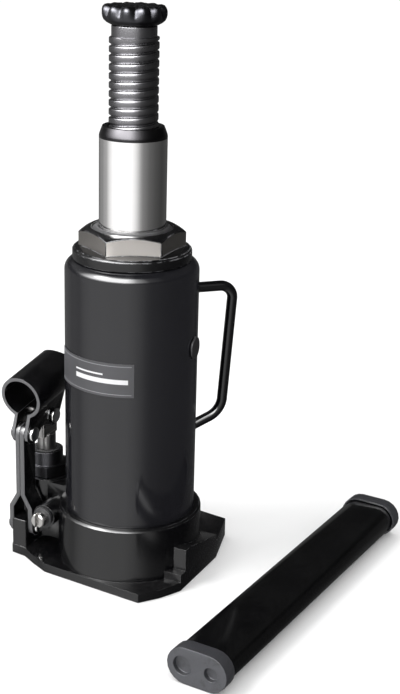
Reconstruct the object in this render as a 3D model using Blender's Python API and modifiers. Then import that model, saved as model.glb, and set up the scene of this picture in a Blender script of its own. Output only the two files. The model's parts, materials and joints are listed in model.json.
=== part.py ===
"""Hydraulic bottle jack with its two-piece handle stored in a flat oval case beside it.

Metres, +Z up. The origin is on the floor under the ram's axis. The pump is on the -X side
and the label faces -Y.
"""

import math

import bmesh
import bpy
from mathutils import Matrix, Vector

# Clearances
GAP = 0.0003  # between pieces that touch
OVERLAP = 0.001  # of shapes that are joined, or of a cutter past a face
LINK_GAP = 0.00035  # between the links and the socket's cheeks
TONGUE_GAP = 0.0005  # between the plunger's tongue and the socket's cheeks

# Base casting
FOOT_THICKNESS = 0.0055
COLLAR_WALL = 0.0041
COLLAR_TOP = 0.0395
COLLAR_CHAMFER = 0.0012
COLLAR_DRAFT = 0.0006
RESERVOIR_SEAT = 0.026
CYLINDER_SEAT = 0.016
TOE_THICKNESS = 0.012
SIDE_BLOCK_HIGH = 0.0245
SIDE_BLOCK_LOW = 0.016
SIDE_STEP_TOP = 0.0105
SIDE_STEP_DEPTH = 0.0062
SIDE_BLOCK_HIGH_BACK = -0.012
SIDE_BLOCK_LOW_FRONT = 0.006
SIDE_FRONT = -0.0243
SIDE_BACK = 0.0257
FRONT_TOE = 0.0052  # how far each toe stands out past the collar
SIDE_TOE = 0.0044
BACK_TOE = 0.0153

# Reservoir, cylinder and gland nut
OIL_SPACE = 0.0135  # from the cylinder's outside to the reservoir's outside
RESERVOIR_WALL = 0.003
RESERVOIR_TOP = 0.197
SHOULDER_RADIUS = 0.0065
CYLINDER_WALL = 0.004
NUT_SKIRT_WALL = 0.0032
NUT_FLANGE_OVERLAP = 0.0051
NUT_FLANGE_THICKNESS = 0.0066
NUT_WALL = 0.0077  # from the ram to a flat
NUT_HEX_HEIGHT = 0.0119
NUT_SKIRT = 0.017
NUT_TURN = math.radians(30.0)
NUT_CHAMFER = 0.0035
FLANGE_CHAMFER = 0.0012
FLANGE_CONE = 0.0011  # rise of the flange towards the hexagon
SEAL_WIDTH = 0.0024
SEAL_HEIGHT = 0.004
WIPER_WIDTH = 0.0036
WIPER_HEIGHT = 0.0045
GASKET_THICKNESS = 0.0016

# Ram and piston
RAM_WALL = 0.0052
PISTON_STEP = 0.0027  # the cylinder's bore is this much larger than the ram
RAM_TOP = 0.275
RAM_CHAMFER = 0.0045
RAM_CHAMFER_DROP = 0.0018
RAM_LENGTH = 0.185
RAM_BORE_FLOOR = 0.008
SPIGOT_RADIUS = 0.009
SPIGOT_LENGTH = 0.018
BACKUP_THICKNESS = 0.004
CUP_HEIGHT = 0.007
CUP_LIP = 0.003
PISTON_NUT_FLATS = 0.026

# Extension screw and saddle
SCREW_RADIUS = 0.0143
THREAD_PITCH = 0.005
THREAD_DEPTH = 0.0014
THREAD_TURNS = 14
CREST_START = 0.20  # parts of a pitch, from each turn's top
CREST_END = 0.74
ROOT_START = 0.94
SCREW_LENGTH = 0.114
NECK_LENGTH = 0.006
NECK_STEP = 0.0013
SADDLE_SHANK_RADIUS = 0.0075
SADDLE_SHANK_DEPTH = 0.005
SADDLE_OVERHANG = 0.0052
SADDLE_HEIGHT = 0.011
SADDLE_LOBES = 12
LOBE_RADIUS = 0.0025
STOP_THICKNESS = 0.0055
SCREW_RISE = 0.0565  # underside of the saddle above the ram's top

# Pump
PUMP_STANDOFF = 0.0190  # from the collar to the pump's axis
PLUNGER_Y = 0.004
PLUNGER_RADIUS = 0.006
PLUNGER_BOTTOM = 0.034
TONGUE_SHOULDER = 0.002
TONGUE_BOTTOM = 0.070
TONGUE_CORNER = 0.004
TONGUE_RISE = 0.0025  # of the corners' centres above the plunger pin
BOSS_WALL = 0.0065
BOSS_TOP = 0.0445
BARREL_WALL = 0.0045
BARREL_SPIGOT_WALL = 0.003
BARREL_TOP = 0.0605
BARREL_SEAT = 0.024
BARREL_HEX_STEP = 0.0015
BARREL_HEX_HEIGHT = 0.007
BALL_RADIUS = 0.0025

# Oil way and its valve balls
OIL_WAY_RADIUS = 0.0014
OIL_WAY_Z = 0.012
SUCTION_FLOOR = 0.010
SUCTION_BALL_Z = 0.0165
DELIVERY_INSET = 0.0105  # inside the cylinder's bore
DELIVERY_FLOOR = 0.008
DELIVERY_BALL_Z = 0.0125

# Linkage
PIN_RADIUS = 0.003
PIN_HEAD_STEP = 0.0018
PIN_HEAD_THICKNESS = 0.002
CLIP_STEP = 0.002
CLIP_THICKNESS = 0.0012
PIN_TAIL = 0.0015
LUG_WIDTH = 0.0101
LUG_FRONT = -0.0300
LUG_TOP = 0.024
LUG_INSET = 0.006
LUG_BEVEL = 0.0012
WEB_WIDTH = 0.026
WEB_REACH = 0.014
WEB_DROP = 0.0012
LUG_PIN_Y = -0.021
LUG_PIN_Z = 0.018
LINK_PIN_Z = 0.080
LINK_THICKNESS = 0.003
LINK_WIDTH = 0.013
LINK_SPLAY_LOW = 0.031
LINK_SPLAY_HIGH = 0.040
SOCKET_TILT = math.radians(9.0)
SOCKET_RADIUS = 0.0138
SOCKET_WALL = 0.0021
SOCKET_LENGTH = 0.044
SOCKET_FRONT = 0.0005  # mouth ahead of the link pin
CHEEK_MARGIN = 0.0017  # around a pin's head
CHEEK_DEPTH = 0.010  # below the link pin, before trimming
SOCKET_RISE = 0.0244  # bore's axis above the link pin
LEVER_ARM = 0.0253  # from the link pin to the plunger pin
SLOT_TRAVEL = 0.0034
SLOT_GAP = 0.0005  # around the plunger pin in its slot

# Release valve
VALVE_STANDOFF = 0.0016
VALVE_Z = 0.029
VALVE_BOSS_RADIUS = 0.0075
VALVE_BOSS_FRONT = -0.0277
VALVE_STEM_RADIUS = 0.0042
VALVE_STEM_LENGTH = 0.016
VALVE_HEAD_RADIUS = 0.0048
VALVE_HEAD_LENGTH = 0.0060
VALVE_SLOT_WIDTH = 0.0028
VALVE_SLOT_DEPTH = 0.0025
VALVE_SEAL_WIDTH = 0.0018

# Fittings on the reservoir
FILLER_ANGLE = math.radians(7.0)
FILLER_DROP = 0.051  # below the reservoir's top
FILLER_HOLE = 0.0058
FILLER_HEAD_RADIUS = 0.0070
FILLER_HEAD_THICKNESS = 0.0010
FILLER_HEAD_CHAMFER = 0.0004
FILLER_STEM_GAP = 0.0005
FILLER_STEM_LENGTH = 0.0045
CARRY_ANGLE = math.radians(45.0)
CARRY_ROD_RADIUS = 0.0032
CARRY_DROP = 0.0213  # its upper end below the reservoir's top
CARRY_HEIGHT = 0.0887  # between its ends
CARRY_STANDOFF = 0.024  # its upper bend outside the reservoir
CARRY_BEND = 0.008
CARRY_SLANT = 0.0045  # how much nearer its lower bend is
CARRY_LOW_BEND = 0.014
CARRY_FOOT_RISE = 0.002
CARRY_FOOT_DROP = 0.0015
CARRY_SEAT_MARGIN = 0.02
LABEL_START = 218.0  # degrees round from +X
LABEL_END = 301.3
LABEL_HEIGHT = 0.0205
LABEL_DROP = 0.0633  # its middle below the reservoir's top
LABEL_THICKNESS = 0.0005

# Handle case
CASE_NEAR = (0.1038, -0.1148)
CASE_ANGLE = math.radians(85.5)
CASE_LENGTH = 0.2317
CAP_DEPTH = 0.009
CAP_FACE = 0.004
CAP_WALL = 0.001
SLEEVE_WALL = 0.0012
CAP_RECESS_DEPTH = 0.003
CAP_RECESS_EDGE = 0.0024  # each recess is this much smaller than the piece behind it
CAP_RECESS_MARGIN = 0.0006
TUBE_RADIUS = 0.0082
TUBE_WALL = 0.0015
ROD_RADIUS = 0.0066
ROD_NOTCH_WIDTH = 0.0034
ROD_NOTCH_DEPTH = 0.008
HANDLE_END_PLAY = 0.001
HANDLE_ROOM = 0.0012  # sideways, between the tube, the rod and the sleeve

# Facets on round pieces
ROUND_STEPS = 40
SMALL_STEPS = 16
THREAD_STEPS = 16
WIDE_RADIUS = 0.012

SCREW_BORE = SCREW_RADIUS + GAP
RAM_RADIUS = SCREW_BORE + RAM_WALL
RAM_BORE = RAM_RADIUS + GAP
CYLINDER_BORE = RAM_RADIUS + PISTON_STEP
CYLINDER_RADIUS = CYLINDER_BORE + CYLINDER_WALL
RESERVOIR_RADIUS = CYLINDER_RADIUS + OIL_SPACE
NUT_SKIRT_RADIUS = CYLINDER_RADIUS + GAP + NUT_SKIRT_WALL
RESERVOIR_MOUTH = NUT_SKIRT_RADIUS + GAP
NUT_FLANGE_RADIUS = RESERVOIR_MOUTH + NUT_FLANGE_OVERLAP
NUT_ACROSS_FLATS = 2 * (RAM_RADIUS + NUT_WALL)
NECK_RADIUS = SCREW_RADIUS - NECK_STEP
SADDLE_RADIUS = SCREW_RADIUS + SADDLE_OVERHANG
COLLAR_RADIUS = RESERVOIR_RADIUS + GAP + COLLAR_WALL
FRONT_DEPTH = COLLAR_RADIUS + FRONT_TOE
SIDE_REACH = COLLAR_RADIUS + SIDE_TOE
BACK_DEPTH = COLLAR_RADIUS + BACK_TOE
PUMP_X = -(COLLAR_RADIUS + PUMP_STANDOFF)
DELIVERY_X = -(CYLINDER_BORE - DELIVERY_INSET)
VALVE_X = -(COLLAR_RADIUS + VALVE_STANDOFF)
BARREL_RADIUS = PLUNGER_RADIUS + BARREL_WALL
BARREL_SPIGOT_RADIUS = PLUNGER_RADIUS + BARREL_SPIGOT_WALL
BARREL_HEX_FLATS = 2 * (BARREL_RADIUS + BARREL_HEX_STEP)
BOSS_RADIUS = BARREL_SPIGOT_RADIUS + BOSS_WALL
TONGUE_WIDTH = 2 * (PLUNGER_RADIUS + TONGUE_SHOULDER)
PIN_HEAD_RADIUS = PIN_RADIUS + PIN_HEAD_STEP
CLIP_RADIUS = PIN_RADIUS + CLIP_STEP
SLEEVE_WIDTH = 2 * (TUBE_RADIUS + ROD_RADIUS + HANDLE_ROOM + SLEEVE_WALL)
SLEEVE_HEIGHT = 2 * (TUBE_RADIUS + GAP + SLEEVE_WALL)
CAP_WIDTH = SLEEVE_WIDTH + 2 * (GAP + CAP_WALL)
CAP_HEIGHT = SLEEVE_HEIGHT + 2 * (GAP + CAP_WALL)

LINK_OFFSET = LINK_THICKNESS / 2 + GAP / 2
FORK_OFFSET = LUG_WIDTH / 2 + GAP + LINK_THICKNESS / 2
CHEEK_INNER = LINK_OFFSET + LINK_THICKNESS / 2 + LINK_GAP
CHEEK_OFFSET = CHEEK_INNER + SOCKET_WALL / 2
TONGUE_THICKNESS = 2 * (CHEEK_INNER - TONGUE_GAP)
PLUNGER_PIN_Z = LINK_PIN_Z + LEVER_ARM * math.sin(SOCKET_TILT)
RAM_BOTTOM = RAM_TOP - RAM_LENGTH
SADDLE_BOTTOM = RAM_TOP + SCREW_RISE
SCREW_BOTTOM = SADDLE_BOTTOM - SCREW_LENGTH
NUT_BOTTOM = RESERVOIR_TOP + GAP
NUT_FLANGE_TOP = NUT_BOTTOM + NUT_FLANGE_THICKNESS
NUT_TOP = NUT_FLANGE_TOP + NUT_HEX_HEIGHT
CYLINDER_TOP = RESERVOIR_TOP - 0.002

parts = bpy.data.collections.new("bottle_jack")
cutters = bpy.data.collections.new("cutters")


def clear_scene():
    for item in list(bpy.data.objects):
        bpy.data.objects.remove(item, do_unlink=True)
    bpy.context.scene.collection.children.link(parts)
    bpy.context.scene.collection.children.link(cutters)


def make_material(name, color, roughness, metallic):
    material = bpy.data.materials.new(name)
    material.use_nodes = True
    shader = material.node_tree.nodes["Principled BSDF"]
    shader.inputs["Base Color"].default_value = (*color, 1.0)
    shader.inputs["Roughness"].default_value = roughness
    shader.inputs["Metallic"].default_value = metallic
    return material


def gloss_black(name):
    return make_material(name, (0.012, 0.012, 0.014), 0.18, 0.0)


def bright_steel(name):
    return make_material(name, (0.62, 0.61, 0.60), 0.22, 1.0)


def dark_steel(name):
    return make_material(name, (0.045, 0.046, 0.050), 0.42, 0.7)


def zinc(name):
    return make_material(name, (0.66, 0.67, 0.68), 0.30, 1.0)


def black_rubber(name):
    return make_material(name, (0.015, 0.015, 0.015), 0.75, 0.0)


def grey_plastic(name):
    return make_material(name, (0.045, 0.045, 0.050), 0.55, 0.0)


def seal_material(name):
    return make_material(name, (0.05, 0.05, 0.055), 0.6, 0.0)


def keep(item, material=None):
    """Puts an object among the parts, with its own material."""
    parts.objects.link(item)
    if material:
        item.data.materials.append(material)
    item.data.shade_smooth()
    item.data.set_sharp_from_angle(angle=math.radians(35))
    return item


def helper(item):
    """Puts an object among the cutters, which don't render."""
    cutters.objects.link(item)
    item.hide_render = True
    item.display_type = "WIRE"
    return item


def boolean(item, other, operation):
    change = item.modifiers.new(operation.lower(), "BOOLEAN")
    change.operation = operation
    change.object = other
    return item


def join(item, *others):
    for other in others:
        boolean(item, helper(other), "UNION")
    return item


def cut(item, *others):
    for other in others:
        boolean(item, helper(other), "DIFFERENCE")
    return item


def trim(item, other):
    return boolean(item, helper(other), "INTERSECT")


def turned(name, profile, place=(0, 0, 0), rotation=(0, 0, 0), steps=ROUND_STEPS, ring=False):
    """A turned shape. The profile of (radius, height) runs down its outer side."""
    mesh = bpy.data.meshes.new(name)
    edges = [(i, i + 1) for i in range(len(profile) - 1)]
    if ring:
        edges.append((len(profile) - 1, 0))
    mesh.from_pydata([(radius, 0, height) for radius, height in profile], edges, [])
    item = bpy.data.objects.new(name, mesh)
    item.location = place
    item.rotation_euler = rotation
    screw = item.modifiers.new("turn", "SCREW")
    screw.steps = steps
    screw.render_steps = steps
    screw.use_merge_vertices = True
    screw.merge_threshold = 0.00001
    screw.use_smooth_shade = True
    return item


def rod(name, radius, low, high, place=(0, 0, 0), rotation=(0, 0, 0), steps=None):
    """A cylinder, with more sides where it is wide."""
    steps = steps or (ROUND_STEPS if radius > WIDE_RADIUS else SMALL_STEPS)
    profile = [(0, high), (radius, high), (radius, low), (0, low)]
    return turned(name, profile, place, rotation, steps)


def ring(name, inner, outer, low, high, place=(0, 0, 0), rotation=(0, 0, 0), steps=None):
    """A cylinder with a hole through it."""
    steps = steps or (ROUND_STEPS if outer > WIDE_RADIUS else SMALL_STEPS)
    profile = [(inner, high), (outer, high), (outer, low), (inner, low)]
    return turned(name, profile, place, rotation, steps, ring=True)


ALONG_X = (0, math.radians(90), 0)
ALONG_Y = (math.radians(-90), 0, 0)
SIDEWAYS = (math.radians(90), 0, math.radians(90))  # a plate's X and Y become Y and Z


def plate(name, outline, thickness, place=(0, 0, 0), rotation=(0, 0, 0)):
    """A flat outline in its own XY plane, centred on its thickness, as a mesh object."""
    curve = bpy.data.curves.new(name + "_outline", "CURVE")
    curve.dimensions = "2D"
    curve.fill_mode = "BOTH"
    curve.extrude = thickness / 2
    spline = curve.splines.new("POLY")
    spline.points.add(len(outline) - 1)
    for point, (x, y) in zip(spline.points, outline):
        point.co = (x, y, 0, 1)
    spline.use_cyclic_u = True
    return as_mesh(name, curve, place, rotation)


def as_mesh(name, curve, place=(0, 0, 0), rotation=(0, 0, 0)):
    """Turns a curve into a welded mesh object and removes the curve."""
    source = bpy.data.objects.new(name + "_curve", curve)
    bpy.context.scene.collection.objects.link(source)
    graph = bpy.context.evaluated_depsgraph_get()
    mesh = bpy.data.meshes.new_from_object(source.evaluated_get(graph))
    bpy.data.objects.remove(source, do_unlink=True)
    shape = bmesh.new()
    shape.from_mesh(mesh)
    bmesh.ops.remove_doubles(shape, verts=shape.verts, dist=0.000002)
    bmesh.ops.recalc_face_normals(shape, faces=shape.faces)
    shape.to_mesh(mesh)
    shape.free()
    mesh.materials.clear()
    item = bpy.data.objects.new(name, mesh)
    item.location = place
    item.rotation_euler = rotation
    return item


def bent_sheet(name, path, low, high, thickness, place=(0, 0, 0), rotation=(0, 0, 0)):
    """A sheet that follows a path in its XY plane and stands from low to high along Z."""
    mesh = bpy.data.meshes.new(name)
    shape = bmesh.new()
    points = [shape.verts.new((x, y, low)) for x, y in path]
    edges = [shape.edges.new(pair) for pair in zip(points, points[1:])]
    raised = bmesh.ops.extrude_edge_only(shape, edges=edges)["geom"]
    tops = [part for part in raised if isinstance(part, bmesh.types.BMVert)]
    bmesh.ops.translate(shape, verts=tops, vec=(0, 0, high - low))
    shape.to_mesh(mesh)
    shape.free()
    item = bpy.data.objects.new(name, mesh)
    item.location = place
    item.rotation_euler = rotation
    wall = item.modifiers.new("wall", "SOLIDIFY")
    wall.thickness = thickness
    wall.offset = 0
    wall.use_even_offset = True
    return item


def arc(x, y, radius, start, end, steps):
    """Points along an arc, in degrees."""
    turns = [math.radians(start + (end - start) * i / steps) for i in range(steps + 1)]
    return [(x + radius * math.cos(turn), y + radius * math.sin(turn)) for turn in turns]


def stadium(length, width, steps=8):
    """An outline with round ends, long in X."""
    half = (length - width) / 2
    right = arc(half, 0, width / 2, -90, 90, steps)
    return right + arc(-half, 0, width / 2, 90, 270, steps)


def block(name, low, high):
    """A box from its lowest corner to its highest."""
    mesh = bpy.data.meshes.new(name)
    shape = bmesh.new()
    bmesh.ops.create_cube(shape, size=1)
    size = Vector(high) - Vector(low)
    bmesh.ops.transform(shape, matrix=Matrix.Diagonal((*size, 1)), verts=shape.verts)
    bmesh.ops.translate(shape, verts=shape.verts, vec=(Vector(high) + Vector(low)) / 2)
    shape.to_mesh(mesh)
    shape.free()
    return bpy.data.objects.new(name, mesh)


def hexagon(name, across_flats, low, high, place=(0, 0, 0), turn=0.0):
    radius = across_flats / 2 / math.cos(math.radians(30))
    return turned(
        name,
        [(0, high), (radius, high), (radius, low), (0, low)],
        place,
        (0, 0, turn),
        steps=6,
    )


def ball(name, radius, place):
    mesh = bpy.data.meshes.new(name)
    shape = bmesh.new()
    bmesh.ops.create_uvsphere(shape, u_segments=12, v_segments=8, radius=radius)
    shape.to_mesh(mesh)
    shape.free()
    item = bpy.data.objects.new(name, mesh)
    item.location = place
    return item


# Base and its fixed pieces


def back_toe_corners():
    return [(SIDE_REACH - 0.0084, BACK_DEPTH - 0.0027), (0.0210, BACK_DEPTH)]


def foot_outline():
    lug_left = PUMP_X - LUG_WIDTH / 2
    lug_right = PUMP_X + LUG_WIDTH / 2
    boss_left = PUMP_X - BOSS_RADIUS
    front = [
        (lug_left, LUG_FRONT),
        (lug_right, LUG_FRONT - 0.0014),
        (lug_right + 0.0102, -COLLAR_RADIUS + 0.0071),
        (-0.0363, -COLLAR_RADIUS + 0.0013),
        (-0.0123, -COLLAR_RADIUS - 0.0011),
        (0.0331, -FRONT_DEPTH),
        (SIDE_REACH - 0.0068, -FRONT_DEPTH + 0.0117),
        (SIDE_REACH, SIDE_FRONT),
    ]
    back = [
        (SIDE_REACH, SIDE_BACK),
        *back_toe_corners(),
        (-0.0123, COLLAR_RADIUS + 0.0026),
        (-0.0363, COLLAR_RADIUS - 0.0013),
        (lug_right + 0.0034, COLLAR_RADIUS - 0.0114),
        (boss_left + 0.0050, PLUNGER_Y + 0.0190),
        (boss_left, PLUNGER_Y),
        (boss_left + 0.0030, LUG_PIN_Y + 0.0060),
    ]
    return front + back


def side_block():
    """The wall along +X, with a step at its front, then high, then low at its back."""
    step = SIDE_FRONT + SIDE_STEP_DEPTH
    outline = [
        (SIDE_FRONT, OVERLAP),
        (SIDE_BACK, OVERLAP),
        (SIDE_BACK, SIDE_BLOCK_LOW),
        (SIDE_BLOCK_LOW_FRONT, (SIDE_BLOCK_LOW + SIDE_BLOCK_HIGH) / 2),
        (SIDE_BLOCK_HIGH_BACK, SIDE_BLOCK_HIGH),
        (step, SIDE_BLOCK_HIGH),
        (step, SIDE_STEP_TOP),
        (SIDE_FRONT, SIDE_STEP_TOP),
    ]
    width = SIDE_REACH / 2
    return plate("side_block", outline, width, (SIDE_REACH - width / 2, 0, 0), SIDEWAYS)


def back_toe():
    outline = [
        (SIDE_REACH, SIDE_BACK - 0.0050),
        (SIDE_REACH, SIDE_BACK),
        *back_toe_corners(),
        (0.0150, 0.0300),
    ]
    return plate("back_toe", outline, TOE_THICKNESS - 0.001, (0, 0, TOE_THICKNESS / 2 + 0.0005))


def pump_boss():
    return rod("pump_boss", BOSS_RADIUS, OVERLAP, BOSS_TOP, (PUMP_X, PLUNGER_Y, 0), steps=32)


def boss_web():
    return block(
        "boss_web",
        (PUMP_X, PLUNGER_Y - WEB_WIDTH / 2, OVERLAP),
        (PUMP_X + PUMP_STANDOFF + WEB_REACH, PLUNGER_Y + WEB_WIDTH / 2, BOSS_TOP - WEB_DROP),
    )


def lug():
    left = PUMP_X - LUG_WIDTH / 2
    right = PUMP_X + LUG_WIDTH / 2
    shape = block("lug", (left, LUG_FRONT, OVERLAP), (right, PLUNGER_Y - LUG_INSET, LUG_TOP))
    edges = shape.modifiers.new("edges", "BEVEL")
    edges.width = LUG_BEVEL
    edges.segments = 2
    return shape


def valve_boss():
    length = PLUNGER_Y - VALVE_BOSS_FRONT
    return rod(
        "valve_boss", VALVE_BOSS_RADIUS, 0, length, (VALVE_X, VALVE_BOSS_FRONT, VALVE_Z), ALONG_Y
    )


def build_base():
    base = plate("base", foot_outline(), FOOT_THICKNESS, (0, 0, FOOT_THICKNESS / 2))
    collar = turned(
        "collar",
        [
            (0, COLLAR_TOP),
            (COLLAR_RADIUS - COLLAR_CHAMFER, COLLAR_TOP),
            (COLLAR_RADIUS, COLLAR_TOP - COLLAR_CHAMFER),
            (COLLAR_RADIUS + COLLAR_DRAFT, OVERLAP),
            (0, OVERLAP),
        ],
        steps=ROUND_STEPS,
    )
    join(base, collar, side_block(), back_toe(), boss_web(), pump_boss(), lug(), valve_boss())
    above = BOSS_TOP + 0.01
    pocket = BALL_RADIUS + GAP
    cut(
        base,
        rod("reservoir_recess", RESERVOIR_RADIUS + GAP, RESERVOIR_SEAT, above, steps=ROUND_STEPS),
        rod("cylinder_recess", CYLINDER_RADIUS + GAP, CYLINDER_SEAT, RESERVOIR_SEAT + OVERLAP),
        rod("barrel_bore", BARREL_SPIGOT_RADIUS + GAP, BARREL_SEAT, above, (PUMP_X, PLUNGER_Y, 0)),
        rod("suction_pocket", pocket, SUCTION_FLOOR, BARREL_SEAT + OVERLAP, (PUMP_X, PLUNGER_Y, 0)),
        rod("delivery_pocket", pocket, DELIVERY_FLOOR, CYLINDER_SEAT + OVERLAP, (DELIVERY_X, PLUNGER_Y, 0)),
        rod(
            "oil_way",
            OIL_WAY_RADIUS,
            0,
            DELIVERY_X - PUMP_X,
            (PUMP_X, PLUNGER_Y, OIL_WAY_Z),
            ALONG_X,
            steps=12,
        ),
        rod(
            "valve_bore",
            VALVE_STEM_RADIUS + GAP,
            -0.002,
            VALVE_STEM_LENGTH + 2 * BALL_RADIUS + 2 * GAP,
            (VALVE_X, VALVE_BOSS_FRONT, VALVE_Z),
            ALONG_Y,
        ),
        rod("lug_hole", PIN_RADIUS + GAP, -0.02, 0.02, (PUMP_X, LUG_PIN_Y, LUG_PIN_Z), ALONG_X),
    )
    return keep(base, gloss_black("cast_base"))


def build_reservoir():
    outer = RESERVOIR_RADIUS
    inner = outer - RESERVOIR_WALL
    bend = outer - SHOULDER_RADIUS
    middle = RESERVOIR_TOP - SHOULDER_RADIUS
    bottom = RESERVOIR_SEAT + GASKET_THICKNESS + 2 * GAP
    profile = [(RESERVOIR_MOUTH, RESERVOIR_TOP)]
    profile += arc(bend, middle, SHOULDER_RADIUS, 90, 0, 4)
    profile += [(outer, bottom), (inner, bottom)]
    profile += arc(bend, middle, SHOULDER_RADIUS - RESERVOIR_WALL, 0, 90, 2)
    profile += [(RESERVOIR_MOUTH, RESERVOIR_TOP - RESERVOIR_WALL)]
    tube = turned("reservoir_tube", profile, ring=True)
    hole = rod(
        "filler_hole",
        FILLER_HOLE,
        inner - 0.005,
        outer + 0.005,
        (0, 0, RESERVOIR_TOP - FILLER_DROP),
        (0, math.radians(90), FILLER_ANGLE),
        steps=16,
    )
    return keep(cut(tube, hole), gloss_black("reservoir_paint"))


def build_cylinder():
    bottom = CYLINDER_SEAT + GASKET_THICKNESS + 2 * GAP
    tube = ring("pressure_cylinder", CYLINDER_BORE, CYLINDER_RADIUS, bottom, CYLINDER_TOP)
    return keep(tube, dark_steel("cylinder_steel"))


def build_gaskets():
    low = RESERVOIR_SEAT + GAP
    inner = RESERVOIR_RADIUS - RESERVOIR_WALL
    keep(
        ring("reservoir_gasket", inner, RESERVOIR_RADIUS, low, low + GASKET_THICKNESS),
        seal_material("reservoir_gasket_rubber"),
    )
    low = CYLINDER_SEAT + GAP
    keep(
        ring("cylinder_gasket", CYLINDER_BORE, CYLINDER_RADIUS, low, low + GASKET_THICKNESS),
        seal_material("cylinder_gasket_copper"),
    )


def build_gland_nut():
    """A flanged hexagon nut with a skirt around the cylinder's top and the ram's seals inside."""
    flange = turned(
        "gland_nut",
        [
            (0, NUT_FLANGE_TOP + FLANGE_CONE),
            (NUT_ACROSS_FLATS / 2, NUT_FLANGE_TOP + FLANGE_CONE),
            (NUT_FLANGE_RADIUS - FLANGE_CHAMFER, NUT_FLANGE_TOP),
            (NUT_FLANGE_RADIUS, NUT_FLANGE_TOP - FLANGE_CHAMFER),
            (NUT_FLANGE_RADIUS, NUT_BOTTOM),
            (NUT_SKIRT_RADIUS, NUT_BOTTOM),
            (NUT_SKIRT_RADIUS, NUT_BOTTOM - NUT_SKIRT),
            (0, NUT_BOTTOM - NUT_SKIRT),
        ],
    )
    hexagonal = hexagon(
        "nut_hexagon", NUT_ACROSS_FLATS, NUT_FLANGE_TOP - OVERLAP, NUT_TOP, turn=NUT_TURN
    )
    corner = NUT_ACROSS_FLATS / 2 / math.cos(math.radians(30))
    chamfer = turned(
        "nut_chamfer",
        [
            (0, NUT_TOP),
            (NUT_ACROSS_FLATS / 2 - 0.0015, NUT_TOP),
            (corner + OVERLAP, NUT_TOP - NUT_CHAMFER),
            (corner + OVERLAP, NUT_BOTTOM),
            (0, NUT_BOTTOM),
        ],
    )
    trim(hexagonal, chamfer)
    join(flange, hexagonal)
    middle = NUT_FLANGE_TOP + 0.002
    cut(
        flange,
        rod("nut_counterbore", CYLINDER_RADIUS + GAP, NUT_BOTTOM - NUT_SKIRT - 0.01, CYLINDER_TOP + GAP),
        rod("nut_bore", RAM_BORE, NUT_BOTTOM - 0.03, NUT_TOP + 0.01),
        rod("wiper_recess", RAM_BORE + WIPER_WIDTH + GAP, NUT_TOP - WIPER_HEIGHT, NUT_TOP + 0.01),
        rod("seal_groove", RAM_BORE + SEAL_WIDTH + GAP, middle, middle + SEAL_HEIGHT + 2 * GAP),
    )
    keep(flange, gloss_black("nut_paint"))
    keep(
        ring("gland_seal", RAM_BORE, RAM_BORE + SEAL_WIDTH, middle + GAP, middle + GAP + SEAL_HEIGHT),
        seal_material("gland_seal_rubber"),
    )
    low = NUT_TOP - WIPER_HEIGHT + GAP
    wiper = turned(
        "ram_wiper",
        [
            (RAM_BORE, NUT_TOP + 0.0006),
            (RAM_BORE + WIPER_WIDTH * 0.45, NUT_TOP + 0.0006),
            (RAM_BORE + WIPER_WIDTH, NUT_TOP - 0.0008),
            (RAM_BORE + WIPER_WIDTH, low),
            (RAM_BORE, low),
        ],
        ring=True,
    )
    keep(wiper, black_rubber("wiper_rubber"))


# Ram, piston, screw and saddle


def build_ram():
    floor = RAM_BOTTOM + RAM_BORE_FLOOR
    spigot_end = RAM_BOTTOM - SPIGOT_LENGTH
    ram = turned(
        "ram",
        [
            (0, floor),
            (SCREW_BORE, floor),
            (SCREW_BORE, RAM_TOP),
            (RAM_RADIUS - RAM_CHAMFER_DROP, RAM_TOP),
            (RAM_RADIUS, RAM_TOP - RAM_CHAMFER),
            (RAM_RADIUS, RAM_BOTTOM),
            (SPIGOT_RADIUS, RAM_BOTTOM),
            (SPIGOT_RADIUS, spigot_end),
            (0, spigot_end),
        ],
    )
    keep(ram, bright_steel("polished_ram"))
    piston = CYLINDER_BORE - GAP
    hole = SPIGOT_RADIUS + GAP
    top = RAM_BOTTOM - GAP
    keep(
        ring("piston_backup_washer", hole, piston, top - BACKUP_THICKNESS, top),
        bright_steel("backup_washer_steel"),
    )
    top -= BACKUP_THICKNESS + GAP
    low = top - CUP_HEIGHT
    cup = turned(
        "piston_cup_seal",
        [
            (hole, top),
            (piston, top),
            (piston, low),
            (piston - CUP_LIP, low),
            (piston - CUP_LIP, low + CUP_HEIGHT / 2),
            (hole, low + CUP_HEIGHT / 2),
        ],
        ring=True,
    )
    keep(cup, black_rubber("cup_rubber"))
    nut_top = low + CUP_HEIGHT / 2 - GAP
    nut = hexagon("piston_nut", PISTON_NUT_FLATS, RAM_BOTTOM - SPIGOT_LENGTH, nut_top)
    cut(nut, rod("piston_nut_hole", hole, 0, RAM_BOTTOM))
    keep(nut, dark_steel("piston_nut_steel"))


def thread_profile():
    """Rounds of trapezoid thread running down from the neck, then a plain tail."""
    root = SCREW_RADIUS - THREAD_DEPTH
    top = SADDLE_BOTTOM - GAP - NECK_LENGTH
    points = []
    for turn in range(THREAD_TURNS):
        high = top - turn * THREAD_PITCH
        points += [
            (root, high),
            (SCREW_RADIUS, high - THREAD_PITCH * CREST_START),
            (SCREW_RADIUS, high - THREAD_PITCH * CREST_END),
            (root, high - THREAD_PITCH * ROOT_START),
        ]
    return points


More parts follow.
